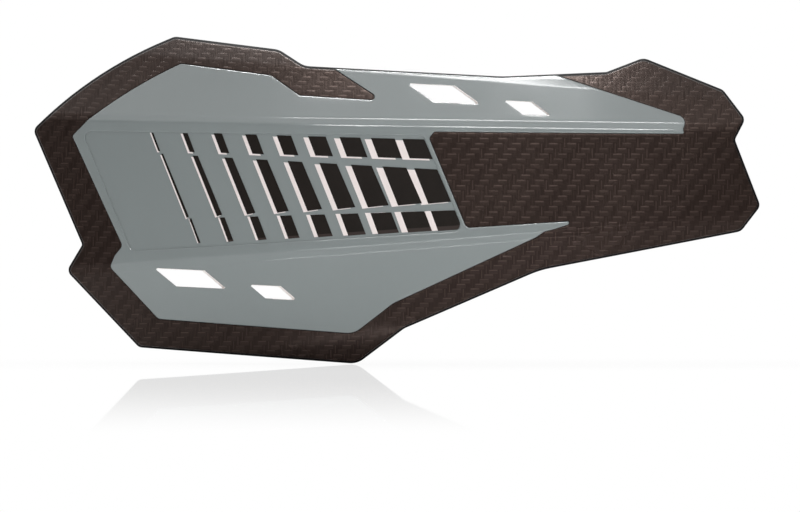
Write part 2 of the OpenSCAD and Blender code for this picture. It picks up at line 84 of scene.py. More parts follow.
# Place of the clamp's centre in the shield's own drawing, in millimetres
CLAMP_X = 117.0
BAR_Y = 94.0
BAR_Z = 13.0
# Where cutters start ahead of the face and end behind the wall, and how near two depths are the same
AHEAD = -2.0
BEYOND = 8.0
CLOSE = 0.05


def to_frame(point: Sequence[float]) -> Vector:
    """Moves a point of the shield's drawing, in millimetres, to the row frame in metres.

    Args:
        point: X, Y and Z in the drawing.

    Returns:
        The same point in the row frame.
    """
    return Vector(((point[0] - CLAMP_X) * MM, (point[1] - BAR_Y) * MM, (point[2] - BAR_Z) * MM))


@dataclass(frozen=True)
class Outline:
    """A closed outline seen from the front, given by its corners and their radii."""

    corners: tuple[Corner, ...]
    sag: float = 0.02

    def inset(self, depth: float) -> "Outline":
        """Moves every side inwards.

        Args:
            depth: Distance in millimetres; a negative one moves the sides outwards.

        Returns:
            The smaller or larger outline.
        """
        count = len(self.corners)
        pts = [Vector(c[:2]) for c in self.corners]
        area = sum(pts[i - 1].x * pts[i].y - pts[i].x * pts[i - 1].y for i in range(count))
        hand = 1.0 if area > 0 else -1.0
        moved = []
        for i, (_, _, radius) in enumerate(self.corners):
            before = (pts[i] - pts[i - 1]).normalized()
            after = (pts[(i + 1) % count] - pts[i]).normalized()
            bisector = Vector((-before.y - after.y, before.x + after.x)) * hand
            bisector /= 1.0 + before.dot(after)
            convex = before.cross(after) * hand > 0
            new_radius = max(radius - depth if convex else radius + depth, 0.3)
            spot = pts[i] + bisector * depth
            moved.append((spot.x, spot.y, new_radius))
        return Outline(tuple(moved), self.sag)

    def points(self) -> list[Point]:
        """The outline's points, with its corners rounded.

        Returns:
            The points, in order.
        """
        count = len(self.corners)
        pts = [Vector(c[:2]) for c in self.corners]

        def half(i: int) -> float:
            """Half of the angle inside corner i."""
            i %= count
            back, ahead = pts[i - 1] - pts[i], pts[(i + 1) % count] - pts[i]
            return back.angle(ahead) / 2

        def wanted(i: int) -> float:
            """Length that corner i's radius asks of each side."""
            return self.corners[i % count][2] / math.tan(half(i))

        def shared(i: int, j: int) -> float:
            """Length that corner i gets of the side to corner j."""
            side = (pts[j % count] - pts[i]).length
            return side * wanted(i) / (wanted(i) + wanted(j))

        out: list[Point] = []
        for i in range(count):
            back = (pts[i - 1] - pts[i]).normalized()
            ahead = (pts[(i + 1) % count] - pts[i]).normalized()
            run = min(wanted(i), shared(i, i - 1), shared(i, i + 1))
            centre = pts[i] + (back + ahead).normalized() * run / math.cos(half(i))
            radius = run * math.tan(half(i))
            turn = math.pi - 2 * half(i)
            hand = -1.0 if back.cross(ahead) > 0 else 1.0
            step = 2 * math.acos(1 - self.sag / max(radius, 2 * self.sag))
            steps = max(2, math.ceil(turn / step))
            arm = pts[i] + back * run - centre
            for k in range(steps + 1):
                spot = centre + Matrix.Rotation(hand * turn * k / steps, 2) @ arm
                out.append((spot.x, spot.y))
        return out


SHIELD_OUTLINE = Outline((
    (-143.1, 27, 3.5), (-120, 50, 178), (-87.8, 63.4, 4), (-47.2, 58.5, 8),
    (-37.4, 52.2, 8), (40, 48.2, 60), (80.5, 49.9, 3), (95, 55.4, 5),
    (126, 42.9, 4), (134.7, 31.6, 3), (130.6, 23.6, 2), (140.6, -2.3, 3),
    (133, -12.2, 4), (54.6, -27.2, 40), (1.6, -50.1, 8), (-16.7, -64, 8),
    (-101.8, -57.8, 3), (-130, -28, 3), (-123.9, -17.7, 1.5)))
COVER_OUTLINE = Outline((
    (-127.8, 24.7, 1), (-121.7, 31, 10), (-104.4, 44.1, 190), (-85.4, 53, 2),
    (-50.3, 48.6, 6), (-39.2, 40.8, 2), (-6.3, 38.8, 1.3), (-28, 52.8, 1),
    (-28, 58, 1), (53, 58, 1), (56.6, 50.2, 1), (112.1, 32, 3),
    (110.4, 27.9, 1), (110.8, 26, 0.5), (13.3, 26.9, 1), (11.3, 24.4, 1.5),
    (25.9, -10.7, 2.2), (66, -8.1, 0.5), (65.7, -9.3, 0.5), (60.8, -10.9, 2),
    (56.2, -12.1, 2), (52.8, -14.4, 4), (-2.7, -40.2, 8), (-18, -52.1, 8),
    (-94.2, -46.6, 2.5), (-113.1, -26.3, 2), (-111.2, -21.8, 1), (-108.2, -18, 2)))
RECESS_OUTLINE = Outline(((-124, 26.6, 2.5), (9, 25.4, 2.2), (25, -11.9, 3), (-104.9, -20, 2.5)))


@dataclass(frozen=True)
class Fold:
    """One surface of revolution that leans away from the bow."""

    centre: Point
    tilt: float
    lean: float
    radius: float
    start: float = 0.0
    down: bool = False

    def local(self, x: float, z: float) -> Point:
        """Turns a place on the shield into the fold's own frame.

        Args:
            x: Place along the shield.
            z: Height on the shield.

        Returns:
            The place along the fold and the height above it.
        """
        along, up = x - self.centre[0], z - self.centre[1]
        cos, sin = math.cos(self.tilt), math.sin(self.tilt)
        height = along * sin + up * cos
        return along * cos - up * sin, -height if self.down else height

    def depth(self, x: float, z: float, inset: float, bow: float) -> float:
        """Depth of this surface behind the foremost line of the bow.

        Args:
            x: Place along the shield.
            z: Height on the shield.
            inset: Distance behind the face.
            bow: Radius of the bow.

        Returns:
            The depth in millimetres.
        """
        along, height = self.local(x, z)
        radius = self.radius - (height - self.start) * math.tan(self.lean) - inset / math.cos(self.lean)
        return bow - math.sqrt(radius * radius - along * along)


@dataclass
class Form:
    """The bowed and folded face that every skin of the shield follows."""

    bow: float = 300.0
    peak_x: float = 40.0
    upper_z: float = 28.5
    upper_tilt: float = math.radians(0.8)
    upper_lean: float = math.radians(30)
    lower_z: float = -13.2
    lower_tilt: float = math.radians(-4.7)
    lower_lean: float = math.radians(28)
    band: float = 2.6
    brow_z: float = 44.6
    brow_slope: float = math.radians(4.4)
    brow_lean: float = math.radians(39)
    heel_drop: float = 20.4
    heel_slope: float = math.radians(10.4)
    heel_lean: float = math.radians(36)
    fold_blend: float = 0.17
    soft_blend: float = 0.3
    upper: list[Fold] = field(init=False)
    lower: list[Fold] = field(init=False)

    def __post_init__(self) -> None:
        """Works out the folds' surfaces from the form's sizes."""
        self.upper = self.flange((self.peak_x, self.upper_z), self.upper_tilt, self.upper_lean, False)
        self.lower = self.flange((self.peak_x, self.lower_z), self.lower_tilt, self.lower_lean, True)
        self.upper.append(self.facet(self.upper[1], self.brow_z, self.brow_slope, self.brow_lean))
        heel_z = self.lower_z - self.heel_drop
        self.lower.append(self.facet(self.lower[1], heel_z, -self.heel_slope, self.heel_lean))

    def facet(self, flange: Fold, z: float, tilt: float, lean: float) -> Fold:
        """The cone that leans back further than its flange.

        Args:
            flange: The flange that it follows.
            z: Height of the crease where it starts.
            tilt: Slope of that crease.
            lean: How far it leans back from the vertical.

        Returns:
            The cone.
        """
        rise = abs(z - flange.centre[1]) - self.band
        radius = flange.radius - rise * math.tan(flange.lean)
        shift = math.tan(flange.lean) * math.tan(abs(tilt - flange.tilt)) * self.bow
        return Fold((self.peak_x + shift, z), tilt, lean, radius, down=flange.down)

    def flange(self, centre: Point, tilt: float, lean: float, down: bool) -> list[Fold]:
        """The narrow band and the flange past it, at one fold.

        Args:
            centre: Place of the fold's middle on the shield.
            tilt: Slope of the fold.
            lean: How far the flange leans back from the vertical.
            down: Whether it lies below the fold.

        Returns:
            The band and the flange.
        """
        edge = self.bow - self.band * math.tan(lean / 2)
        return [Fold(centre, tilt, lean / 2, self.bow, 0.0, down),
                Fold(centre, tilt, lean, edge, self.band, down)]

    def depth(self, x: float, z: float, inset: float = 0.0) -> float:
        """Depth of the face, or of a layer behind it, at a place on the shield.

        Args:
            x: Place along the shield in millimetres.
            z: Height on the shield in millimetres.
            inset: Distance behind the face.

        Returns:
            The depth behind the foremost line of the bow, in millimetres.
        """
        out = self.bow - math.sqrt((self.bow - inset) ** 2 - (x - self.peak_x) ** 2)
        blends = (self.fold_blend, self.fold_blend, self.soft_blend)
        for fold, blend in (*zip(self.upper, blends), *zip(self.lower, blends)):
            out = soft_max(out, fold.depth(x, z, inset, self.bow), blend)
        return out

    def inset_at(self, x: float, y: float, z: float) -> float:
        """Distance behind the face of a point given by its true depth.

        Args:
            x: Place along the shield in millimetres.
            y: Depth behind the foremost line of the bow.
            z: Height on the shield.

        Returns:
            The distance in millimetres.
        """
        face = self.depth(x, z)
        return (y - face) / (self.depth(x, z, 1.0) - face)

    def girth(self, x: float, z: float) -> Point:
        """Place on the skin laid flat.

        Args:
            x: Place along the shield in millimetres.
            z: Height on the shield.

        Returns:
            The place along the skin and up it, in millimetres.
        """
        along = self.bow * math.asin((x - self.peak_x) / self.bow)
        over = self.upper[0].local(x, z)[1]
        under = self.lower[0].local(x, z)[1]
        if over > 0:
            return along, z + over * (1 / math.cos(self.upper_lean) - 1)
        if under > 0:
            return along, z - under * (1 / math.cos(self.lower_lean) - 1)
        return along, z

    def press(self, name: str, sheet: Mesh, grid: float = 3.0) -> Piece:
        """Presses a flat piece to the form and lays its map along the skin.

        Args:
            name: Name of the finished piece.
            sheet: The flat piece: X, distance behind the face, and height, in millimetres.
            grid: Distance between the lines that the piece is divided by.

        Returns:
            The finished object, in metres in the row frame.
        """
        for point, normal in self.lines(sheet, grid):
            geometry = [*sheet.verts, *sheet.edges, *sheet.faces]
            bmesh.ops.bisect_plane(sheet, geom=geometry, dist=1e-4, plane_co=point, plane_no=normal)
        bmesh.ops.remove_doubles(sheet, verts=sheet.verts, dist=1e-3)
        sheet.normal_update()
        layer = sheet.loops.layers.uv.new("skin")
        for face in sheet.faces:
            face.smooth = True
            for loop in face.loops:
                spot = loop.vert.co
                along, up = self.girth(spot.x, spot.z)
                side = face.normal
                loop[layer].uv = ((along + side.x * spot.y) * MM, (up + side.z * spot.y) * MM)
        for vert in sheet.verts:
            spot = vert.co
            vert.co = to_frame((spot.x, self.depth(spot.x, spot.z, spot.y), spot.z))
        return finished(name, sheet)

    def lines(self, sheet: Mesh, grid: float) -> Iterable[tuple[Vector, Vector]]:
        """Planes that divide a flat piece: an even grid, and close rows along the folds and creases.

        Args:
            sheet: The flat piece.
            grid: Distance between the lines of the even grid.

        Yields:
            A point on each plane and its normal.
        """
        low = [min(v.co[i] for v in sheet.verts) for i in range(3)]
        high = [max(v.co[i] for v in sheet.verts) for i in range(3)]
        for axis in (0, 2):
            normal = Vector((1, 0, 0)) if axis == 0 else Vector((0, 0, 1))
            count = int((high[axis] - low[axis]) / grid)
            for k in range(1, count + 1):
                yield normal * (low[axis] + k * (high[axis] - low[axis]) / (count + 1)), normal
        # Height and tilt of each fold and crease, and the start, end and spacing of its rows
        bands = (
            (self.upper_z, self.upper_tilt, -1.0, 4.0, 0.25),
            (self.lower_z, self.lower_tilt, -5.5, 1.0, 0.25),
            (self.brow_z, self.brow_slope, -1.6, 1.6, 0.4),
            (self.lower_z - self.heel_drop, -self.heel_slope, -1.6, 1.6, 0.4))
        for z, tilt, start, end, step in bands:
            normal = Vector((math.sin(tilt), 0, math.cos(tilt)))
            for k in range(int((end - start) / step) + 1):
                point = Vector((self.peak_x, 0, z)) + normal * (start + k * step)
                ends = [normal.dot(Vector((x_end, 0, z_end)) - point)
                        for x_end in (low[0], high[0]) for z_end in (low[2], high[2])]
                if min(ends) < 0 < max(ends):
                    yield point, normal


def soft_max(first: float, second: float, blend: float) -> float:
    """The larger of two depths, rounded over where they are nearly equal.

    Args:
        first: One depth.
        second: The other depth.
        blend: Difference below which the crease is rounded.

    Returns:
        The blended depth.
    """
    share = max(blend - abs(first - second), 0.0) / blend
    return max(first, second) + share * share * blend / 4


def finished(name: str, mesh: Mesh) -> Piece:
    """Turns a bmesh into an object of the scene.

    Args:
        name: Name of the object.
        mesh: The mesh, which is used up.

    Returns:
        The object.
    """
    data = bpy.data.meshes.new(name)
    mesh.to_mesh(data)
    mesh.free()
    piece = bpy.data.objects.new(name, data)
    bpy.context.scene.collection.objects.link(piece)
    return piece


def drop(piece: Piece) -> None:
    """Takes a bench solid away with its mesh.

    Args:
        piece: The bench solid.
    """
    data = piece.data
    bpy.data.objects.remove(piece)
    bpy.data.meshes.remove(data)


def pull(mesh: Mesh, face: bmesh.types.BMFace, depth: float, keep: bool = True) -> list[bmesh.types.BMVert]:
    """Pulls a copy of a face along the depth, with walls between.

    Args:
        mesh: The mesh that is worked on.
        face: The face.
        depth: How far the copy moves, in millimetres.
        keep: Whether the face itself stays.

    Returns:
        The copy's points.
    """
    grown = bmesh.ops.extrude_face_region(mesh, geom=[face], use_keep_orig=keep)
    moved = [g for g in grown["geom"] if isinstance(g, bmesh.types.BMVert)]
    bmesh.ops.translate(mesh, verts=moved, vec=(0, depth, 0))
    return moved


def slab(loops: Sequence[Sequence[Point]], near: float, far: float, skin: Skin = Skin.FACE,
         score: Sequence[float] = ()) -> Piece:
    """Flat solids with the given outlines, as bench solids.

    Args:
        loops: The outlines, in millimetres.
        near: Distance of the front behind the face.
        far: Distance of the back behind the face.
        skin: Material slot of its faces.
        score: Places along X where its faces are divided, so that no later hole lies inside one face.

    Returns:
        The bench solid.
    """
    mesh = bmesh.new()
    for points in loops:
        front = mesh.faces.new([mesh.verts.new((x, near, z)) for x, z in points])
        pull(mesh, front, far - near)
    for x in score:
        geometry = [*mesh.verts, *mesh.edges, *mesh.faces]
        bmesh.ops.bisect_plane(mesh, geom=geometry, dist=1e-4, plane_co=(x, 0, 0), plane_no=(1, 0, 0))
    bmesh.ops.recalc_face_normals(mesh, faces=mesh.faces)
    for face in mesh.faces:
        face.material_index = skin.value
    return on_bench(mesh)


def loft(front: Sequence[Vector], back: Sequence[Vector], skin: Skin = Skin.FACE) -> Piece:
    """A bench solid between two loops of as many points.

    Args:
        front: The front loop.
        back: The back loop.
        skin: Material slot of its faces.

    Returns:
        The bench solid.
    """
    mesh = bmesh.new()
    face = mesh.faces.new([mesh.verts.new(p) for p in front])
    for vert in pull(mesh, face, 0.0):
        nearest = min(range(len(front)), key=lambda k: (front[k] - vert.co).length)
        vert.co = back[nearest]
    bmesh.ops.recalc_face_normals(mesh, faces=mesh.faces)
    for part in mesh.faces:
        part.material_index = skin.value
    return on_bench(mesh)


def on_bench(mesh: Mesh) -> Piece:
    """A scratch object with a material slot for each skin, so that a cut keeps its own.

    Args:
        mesh: Its mesh, which is used up.

    Returns:
        The bench solid.
    """
    piece = finished("bench", mesh)
    for _ in Skin:
        piece.data.materials.append(None)
    return piece


def combine(piece: Piece, tool: Piece, side: Side) -> Piece:
    """Joins, cuts or keeps what is common to two bench solids, and uses both up.

    Args:
        piece: The solid that is worked on.
        tool: The solid that works on it.
        side: How they meet.

    Returns:
        The new bench solid.
    """
    work = piece.modifiers.new("work", "BOOLEAN")
    work.object = tool
    work.operation = side.value
    work.solver = "MANIFOLD"
    graph = bpy.context.evaluated_depsgraph_get()
    data = bpy.data.meshes.new_from_object(piece.evaluated_get(graph))
    out = bpy.data.objects.new("bench", data)
    bpy.context.scene.collection.objects.link(out)
    drop(piece)
    drop(tool)
    return out


def take(piece: Piece) -> Mesh:
    """Takes a bench solid up as a bmesh, with its loose ends tidied.

    Args:
        piece: The bench solid, which is used up.

    Returns:
        The mesh.
    """
    mesh = bmesh.new()
    mesh.from_mesh(piece.data)
    drop(piece)
    bmesh.ops.remove_doubles(mesh, verts=mesh.verts, dist=0.1)
    bmesh.ops.dissolve_degenerate(mesh, edges=mesh.edges, dist=1e-3)
    return mesh


def ease(mesh: Mesh, offset: float, segments: int, wanted: Callable[[float, float], bool],
         angle: float = 0.7) -> None:
    """Rounds the edges of a flat piece that lie at the wanted depths.

    Args:
        mesh: The flat piece.
        offset: Size of the rounding in millimetres.
        segments: Number of facets across it.
        wanted: Tells from the depths of an edge's ends whether it is rounded.
        angle: Turn in radians from which an edge counts as sharp.
    """
    mesh.normal_update()
    edges = []
    for edge in mesh.edges:
        first, second = (v.co for v in edge.verts)
        across = abs(first.y - second.y) > 0.5 * (first - second).length
        if across or len(edge.link_faces) != 2 or not wanted(first.y, second.y):
            continue
        if edge.calc_face_angle(0.0) > angle:
            edges.append(edge)
    bmesh.ops.bevel(mesh, geom=edges, offset=offset, offset_type="OFFSET", segments=segments, profile=0.5,
                    affect="EDGES", clamp_overlap=False, material=-1)


class Nodes:
    """A node tree, with short calls for the nodes that the finishes and the studio use."""

    def __init__(self, owner: Material | bpy.types.World) -> None:
        """Starts on the tree of a material or a world.

        Args:
            owner: The material or world.
        """
        owner.use_nodes = True
        self.owner = owner
        self.tree = owner.node_tree
        self.shader = self.tree.nodes.get("Principled BSDF")

    @classmethod
    def finish(cls, name: str) -> "Nodes":
        """Starts a new material with its shader."""
        return cls(bpy.data.materials.new(name))

    def add(self, kind: str, **settings: object) -> bpy.types.Node:
        """Adds a node and sets its properties.

        Args:
            kind: The node's type.
            settings: Its properties.

        Returns:
            The node.
        """
        node = self.tree.nodes.new(kind)
        for name, value in settings.items():
            setattr(node, name, value)
        return node

    def feed(self, socket: Socket, value: object) -> None:
        """Links a socket to another, or sets its value.

        Args:
            socket: The socket that is fed.
            value: The other socket, or the value.
        """
        if isinstance(value, Socket):
            self.tree.links.new(value, socket)
        else:
            socket.default_value = value

    def math(self, kind: str, *values: object, clamp: bool = False) -> Socket:
        """Adds a maths node.

        Args:
            kind: Its operation.
            values: What it works on.
            clamp: Whether the result is kept from 0 to 1.

        Returns:
            The result's socket.
        """
        node = self.add("ShaderNodeMath", operation=kind, use_clamp=clamp)
        for socket, value in zip(node.inputs, values):
            self.feed(socket, value)
        return node.outputs[0]

    def times(self, first: object, second: object, clamp: bool = False) -> Socket:
        """The product of two values."""
        return self.math("MULTIPLY", first, second, clamp=clamp)

    def plus(self, first: object, second: object, clamp: bool = False) -> Socket:
        """The sum of two values."""
        return self.math("ADD", first, second, clamp=clamp)

    def minus(self, first: object, second: object) -> Socket:
        """The difference of two values."""
        return self.math("SUBTRACT", first, second)

    def most(self, first: object, second: object) -> Socket:
        """The larger of two values."""
        return self.math("MAXIMUM", first, second)

    def hump(self, share: object) -> Socket:
        """A half wave, which rises from 0 to 1 and falls back as the share goes from 0 to 1."""
        return self.math("SINE", self.times(share, math.pi))

    def pick(self, choice: object, first: Socket, second: Socket) -> Socket:
        """The first value where the choice is 1, and the second where it is 0."""
        return self.plus(self.times(choice, first), self.times(self.minus(1.0, choice), second))

    def axes(self, place: Socket) -> tuple[Socket, Socket, Socket]:
        """Takes a place apart.

        Args:
            place: The vector socket.

        Returns:
            Its X, Y and Z.
        """
        split = self.add("ShaderNodeSeparateXYZ")
        self.feed(split.inputs[0], place)
        return tuple(split.outputs)

    def chance(self, first: Socket, second: Socket) -> Socket:
        """A random value from 0 to 1 for each pair of whole numbers.

        Args:
            first: One number.
            second: The other number.

        Returns:
            The value's socket.
        """
        pair = self.add("ShaderNodeCombineXYZ")
        self.feed(pair.inputs[0], first)
        self.feed(pair.inputs[1], second)
        draw = self.add("ShaderNodeTexWhiteNoise", noise_dimensions="2D")
        self.feed(draw.inputs["Vector"], pair.outputs[0])
        return draw.outputs["Value"]

    def blend(self, share: object, first: object, second: object) -> Socket:
        """Mixes two colours.

        Args:
            share: The second colour's share.
            first: The first colour.
            second: The second colour.

        Returns:
            The colour's socket.
        """
        node = self.add("ShaderNodeMix", data_type="RGBA")
        self.feed(node.inputs[0], share)
        self.feed(node.inputs[6], first)
        self.feed(node.inputs[7], second)
        return node.outputs[2]

    def between(self, value: object, low: float, high: float, out_low: float = 0.0,
                out_high: float = 1.0) -> Socket:
        """Maps a value from one range to another, with a soft start and end.

        Args:
            value: The value.
            low: Start of its range.
            high: End of its range.
            out_low: What the start becomes.
            out_high: What the end becomes.

        Returns:
            The mapped value's socket.
        """
        node = self.add("ShaderNodeMapRange", interpolation_type="SMOOTHSTEP")
        for socket, number in zip(node.inputs, (value, low, high, out_low, out_high)):
            self.feed(socket, number)
        return node.outputs[0]

    def line(self, value: Socket, edges: Edges) -> Socket:
        """A line across a value: it rises between the first two edges and falls between the last two."""
        return self.times(self.between(value, *edges[:2]), self.between(value, *edges[2:], 1.0, 0.0))

    def place(self, scale: Corner = (1, 1, 1), uv: bool = False) -> Socket:
        """The place on the piece, in metres, scaled.

        Args:
            scale: Scale along each axis.
            uv: Whether the place is taken from the piece's own map.

        Returns:
            The vector socket.
        """
        source = self.add("ShaderNodeTexCoord").outputs["UV" if uv else "Object"]
        mapping = self.add("ShaderNodeMapping")
        self.feed(mapping.inputs["Vector"], source)
        mapping.inputs["Scale"].default_value = scale
        return mapping.outputs[0]

    def noise(self, place: Socket, scale: float, detail: float = 3.0, rough: float = 0.5) -> Socket:
        """Adds noise from 0 to 1.

        Args:
            place: Where it is read.
            scale: Its fineness.
            detail: How many finer layers it has.
            rough: How strong they are.

        Returns:
            The value's socket.
        """
        node = self.add("ShaderNodeTexNoise")
        self.feed(node.inputs["Vector"], place)
        node.inputs["Scale"].default_value = scale
        node.inputs["Detail"].default_value = detail
        node.inputs["Roughness"].default_value = rough
        return node.outputs["Fac"]

    def mix(self, share: Socket, first: Socket, second: Socket) -> Socket:
        """Mixes two shaders.

        Args:
            share: The second shader's share.
            first: The first shader.
            second: The second shader.

        Returns:
            The shader's socket.
        """
        node = self.add("ShaderNodeMixShader")
        for socket, value in zip(node.inputs, (share, first, second)):
            self.feed(socket, value)
        return node.outputs[0]

    def bump(self, height: object, distance: float, strength: float = 1.0) -> Socket:
        """Adds a relief to the surface.

        Args:
            height: Its height, from 0 to 1.
            distance: What a height of 1 is in metres.
            strength: Its share of the normal.

        Returns:
            The normal's socket.
        """
        node = self.add("ShaderNodeBump")
        node.inputs["Strength"].default_value = strength
        node.inputs["Distance"].default_value = distance
        self.feed(node.inputs["Height"], height)
        return node.outputs[0]

    def shade(self, **sockets: object) -> Material:
        """Feeds the shader.

        Args:
            sockets: Values by the sockets' names, with underscores for spaces.

        Returns:
            The finished material.
        """
        for name, value in sockets.items():
            self.feed(self.shader.inputs[name.replace("_", " ")], value)
        return self.owner


def colour(red: int, green: int, blue: int) -> Tone:
    """A shader colour from the 8-bit one that it shows as.

    Args:
        red: Its red, from 0 to 255.
        green: Its green.
        blue: Its blue.

    Returns:
        The colour, linear, with an alpha of 1.
    """
    def linear(value: int) -> float:
        """Takes the display curve off."""
        share = value / 255
        return share / 12.92 if share <= 0.04045 else ((share + 0.055) / 1.055) ** 2.4
    return linear(red), linear(green), linear(blue), 1.0


@dataclass(frozen=True)
class WeaveFinish:
    """Woven twill under a thin satin lacquer, printed along the skin.

    Tow widths are in millimetres, and the places of a painted highlight line run from 0 to 1 across its
    tow;
    these lines lighten the base colour towards the light tone. Each pair for shine is that of the darkest
    and the lightest fibres.
    """

    name: str = "shield_weave"
    tow: float = 1.8
    row: float = 2.05
    repeat: float = 4.0
    dark: Tone = colour(30, 22, 19)
    middle: Tone = colour(35, 27, 24)
    # The light tone is that of the paler fibres, and also the colour of the painted highlight lines
    light: Tone = colour(56, 45, 41)
    sheen: Tone = colour(255, 226, 214)
    fibres_across: float = 4200.0
    fibres_along: float = 130.0
    # Painted highlight lines: where they lie across the tow, and where they fade in along each float
    painted_top_glint: Edges = (0.66, 0.82, 0.86, 0.98)
    painted_side_glint: Edges = (0.3, 0.45, 0.5, 0.66)
    line_end: Pair = (0.05, 0.35)
    under_range: Pair = (0.35, 0.8)
    top_shine: Pair = (0.17, 0.36)
    under_shine: Pair = (0.12, 0.34)
    rough: Pair = (0.23, 0.28)
    relief: float = 0.00006

    def material(self) -> Material:
        """Builds the finish from the piece's own map.

        Returns:
            The material.
        """
        n = Nodes.finish(self.name)
        across, up, _ = n.axes(n.place((1 / (self.tow * MM), 1 / (self.row * MM), 1), uv=True))
        column, row = n.math("FLOOR", across), n.math("FLOOR", up)
        in_column, in_row = n.math("FRACT", across), n.math("FRACT", up)
        # A cell's step in the twill, from 0 to 3; the first two lie on top as one float
        diagonal = n.minus(column, row)
        step = n.math("FLOORED_MODULO", diagonal, self.repeat)
        group = n.math("FLOOR", n.math("DIVIDE", diagonal, self.repeat))
        on_top = n.math("LESS_THAN", step, 1.5)
        along = n.math("MINIMUM", n.math("DIVIDE", n.plus(step, in_column), 2.0), 1.0)
        rise = n.most(n.math("DIVIDE", n.plus(n.minus(3.0, step), in_row), 2.0), 0.0)
        crown, arch, sunk = n.hump(in_row), n.hump(along), n.hump(in_column)
        streak = n.noise(n.place((self.fibres_along, self.fibres_across, 1), uv=True), 1.0, 2.0, 0.6)
        upright = n.noise(n.place((self.fibres_across, self.fibres_along, 1), uv=True), 1.0, 2.0, 0.6)
        # Painted highlight: each float gets a bright glint line along its upper edge in its base colour,
        # stronger on some than on others
        painted_top_glint = n.times(n.line(in_row, self.painted_top_glint), n.between(arch, *self.line_end))
        glint = n.times(painted_top_glint, n.between(n.chance(group, row), 0.0, 1.0, 0.35, 1.0))
        float_tone = n.plus(n.between(streak, 0.3, 0.7, 0.0, 0.3), n.times(glint, 0.9))
        float_tone = n.times(float_tone, n.between(crown, 0.0, 0.35, 0.3, 1.0), clamp=True)
        tow_colour = n.blend(float_tone, self.middle, self.light)
        # The tows that pass under show floats of their own, upright, with a fainter painted highlight line
        # inside one side
        painted_side_glint = n.times(n.line(in_column, self.painted_side_glint), n.between(n.hump(rise), *self.line_end))
        painted_glint_up = n.times(painted_side_glint, n.between(n.chance(column, group), 0.2, 1.0, 0.0, 0.85))
        under_colour = n.blend(n.between(upright, *self.under_range, 0.0, 0.9), self.dark, self.middle)
        under_colour = n.blend(painted_glint_up, under_colour, self.light)
        fibres = n.pick(on_top, streak, upright)
        height = n.plus(n.times(on_top, n.times(n.plus(crown, arch), 0.5)), n.times(sunk, 0.25))
        shine = n.pick(on_top, n.between(float_tone, 0.0, 1.0, *self.top_shine),
                       n.between(upright, *self.under_range, *self.under_shine))
        wear = n.noise(n.place(), 38.0, 4.0)
        return n.shade(Base_Color=n.blend(on_top, under_colour, tow_colour), Specular_Tint=self.sheen,
                       Roughness=n.between(wear, 0.3, 0.7, *self.rough), Specular_IOR_Level=shine,
                       Normal=n.bump(n.plus(height, n.times(fibres, 0.3)), self.relief, 0.6))


@dataclass(frozen=True)
class CoverFinish:
    """Painted moulding with a clear gloss and very fine orange peel."""

    name: str = "cover_grey"
    tone: Tone = colour(128, 135, 135)
    shade_tone: Tone = colour(118, 125, 125)
    cloud: float = 22.0
    flake: float = 5200.0
    peel: float = 650.0
    rough: Pair = (0.13, 0.17)
    relief: float = 0.000006

    def material(self) -> Material:
        """Builds the finish in the object's own place.

        Returns:
            The material.
        """
        n = Nodes.finish(self.name)
        cloud = n.noise(n.place(), self.cloud, 3.0)
        flake = n.noise(n.place(), self.flake, 1.0)
        share = n.plus(n.between(cloud, 0.3, 0.7, 0.0, 0.22), n.between(flake, 0.35, 0.65, 0.0, 0.12))
        peel = n.bump(n.noise(n.place(), self.peel, 1.0), self.relief, 0.3)
        return n.shade(Base_Color=n.blend(share, self.tone, self.shade_tone), Normal=peel,
                       Roughness=n.between(cloud, 0.3, 0.7, *self.rough), Specular_IOR_Level=0.5)


@dataclass(frozen=True)
class FilmFinish:
    """Printed film with a soft gloss, and a lighter band where its lowest row ends, if it has one.

    The band lies under a line that slopes with the row: foot_z is the line's height at the row's origin, in
    metres.
    """

    name: str
    tone: Tone
    lean_tone: Tone
    gloss: float = 0.2
    shine: float = 0.12
    cloud: float = 140.0
    dots: float = 3400.0
    relief: float = 0.00001
    foot_tone: Tone | None = None
    foot_z: float = -0.01655
    foot_slope: float = 0.065
    foot_edge: float = 0.0001

    def material(self) -> Material:
        """Builds the finish with a faint unevenness of the print.

        Returns:
            The material.
        """
        n = Nodes.finish(self.name)
        cloud = n.noise(n.place(), self.cloud, 4.0)
        dots = n.noise(n.place(), self.dots, 1.0)
        share = n.times(n.between(cloud, 0.3, 0.7), n.between(dots, 0.3, 0.7, 0.4, 1.0))
        base = n.blend(share, self.tone, self.lean_tone)
        if self.foot_tone:
            x, _, z = n.axes(n.place())
            level = n.minus(z, n.times(x, self.foot_slope))
            low, high = self.foot_z - self.foot_edge, self.foot_z + self.foot_edge
            base = n.blend(n.between(level, low, high, 1.0, 0.0), base, self.foot_tone)
        return n.shade(Base_Color=base, Roughness=self.gloss, Specular_IOR_Level=self.shine,
                       Normal=n.bump(cloud, self.relief, 0.3))


@dataclass(frozen=True)
class MouldedFinish:
    """Plain moulded plastic with a fine spark-eroded grain."""

    name: str
    tone: Tone
    worn_tone: Tone
    shine: float = 0.4
    grain: float = 1900.0
    flow: float = 30.0
    rough: Pair = (0.5, 0.62)
    relief: float = 0.00004

    def material(self) -> Material:
        """Builds the grain in the object's own place.

        Returns:
            The material.
        """
        n = Nodes.finish(self.name)
        grain = n.noise(n.place(), self.grain, 2.0, 0.6)
        flow = n.noise(n.place((1, 1, 2.5)), self.flow, 4.0)
        return n.shade(Base_Color=n.blend(n.between(flow, 0.35, 0.7), self.tone, self.worn_tone),
                       Roughness=n.between(flow, 0.3, 0.7, *self.rough), Specular_IOR_Level=self.shine,
                       Normal=n.bump(grain, self.relief, 0.6))


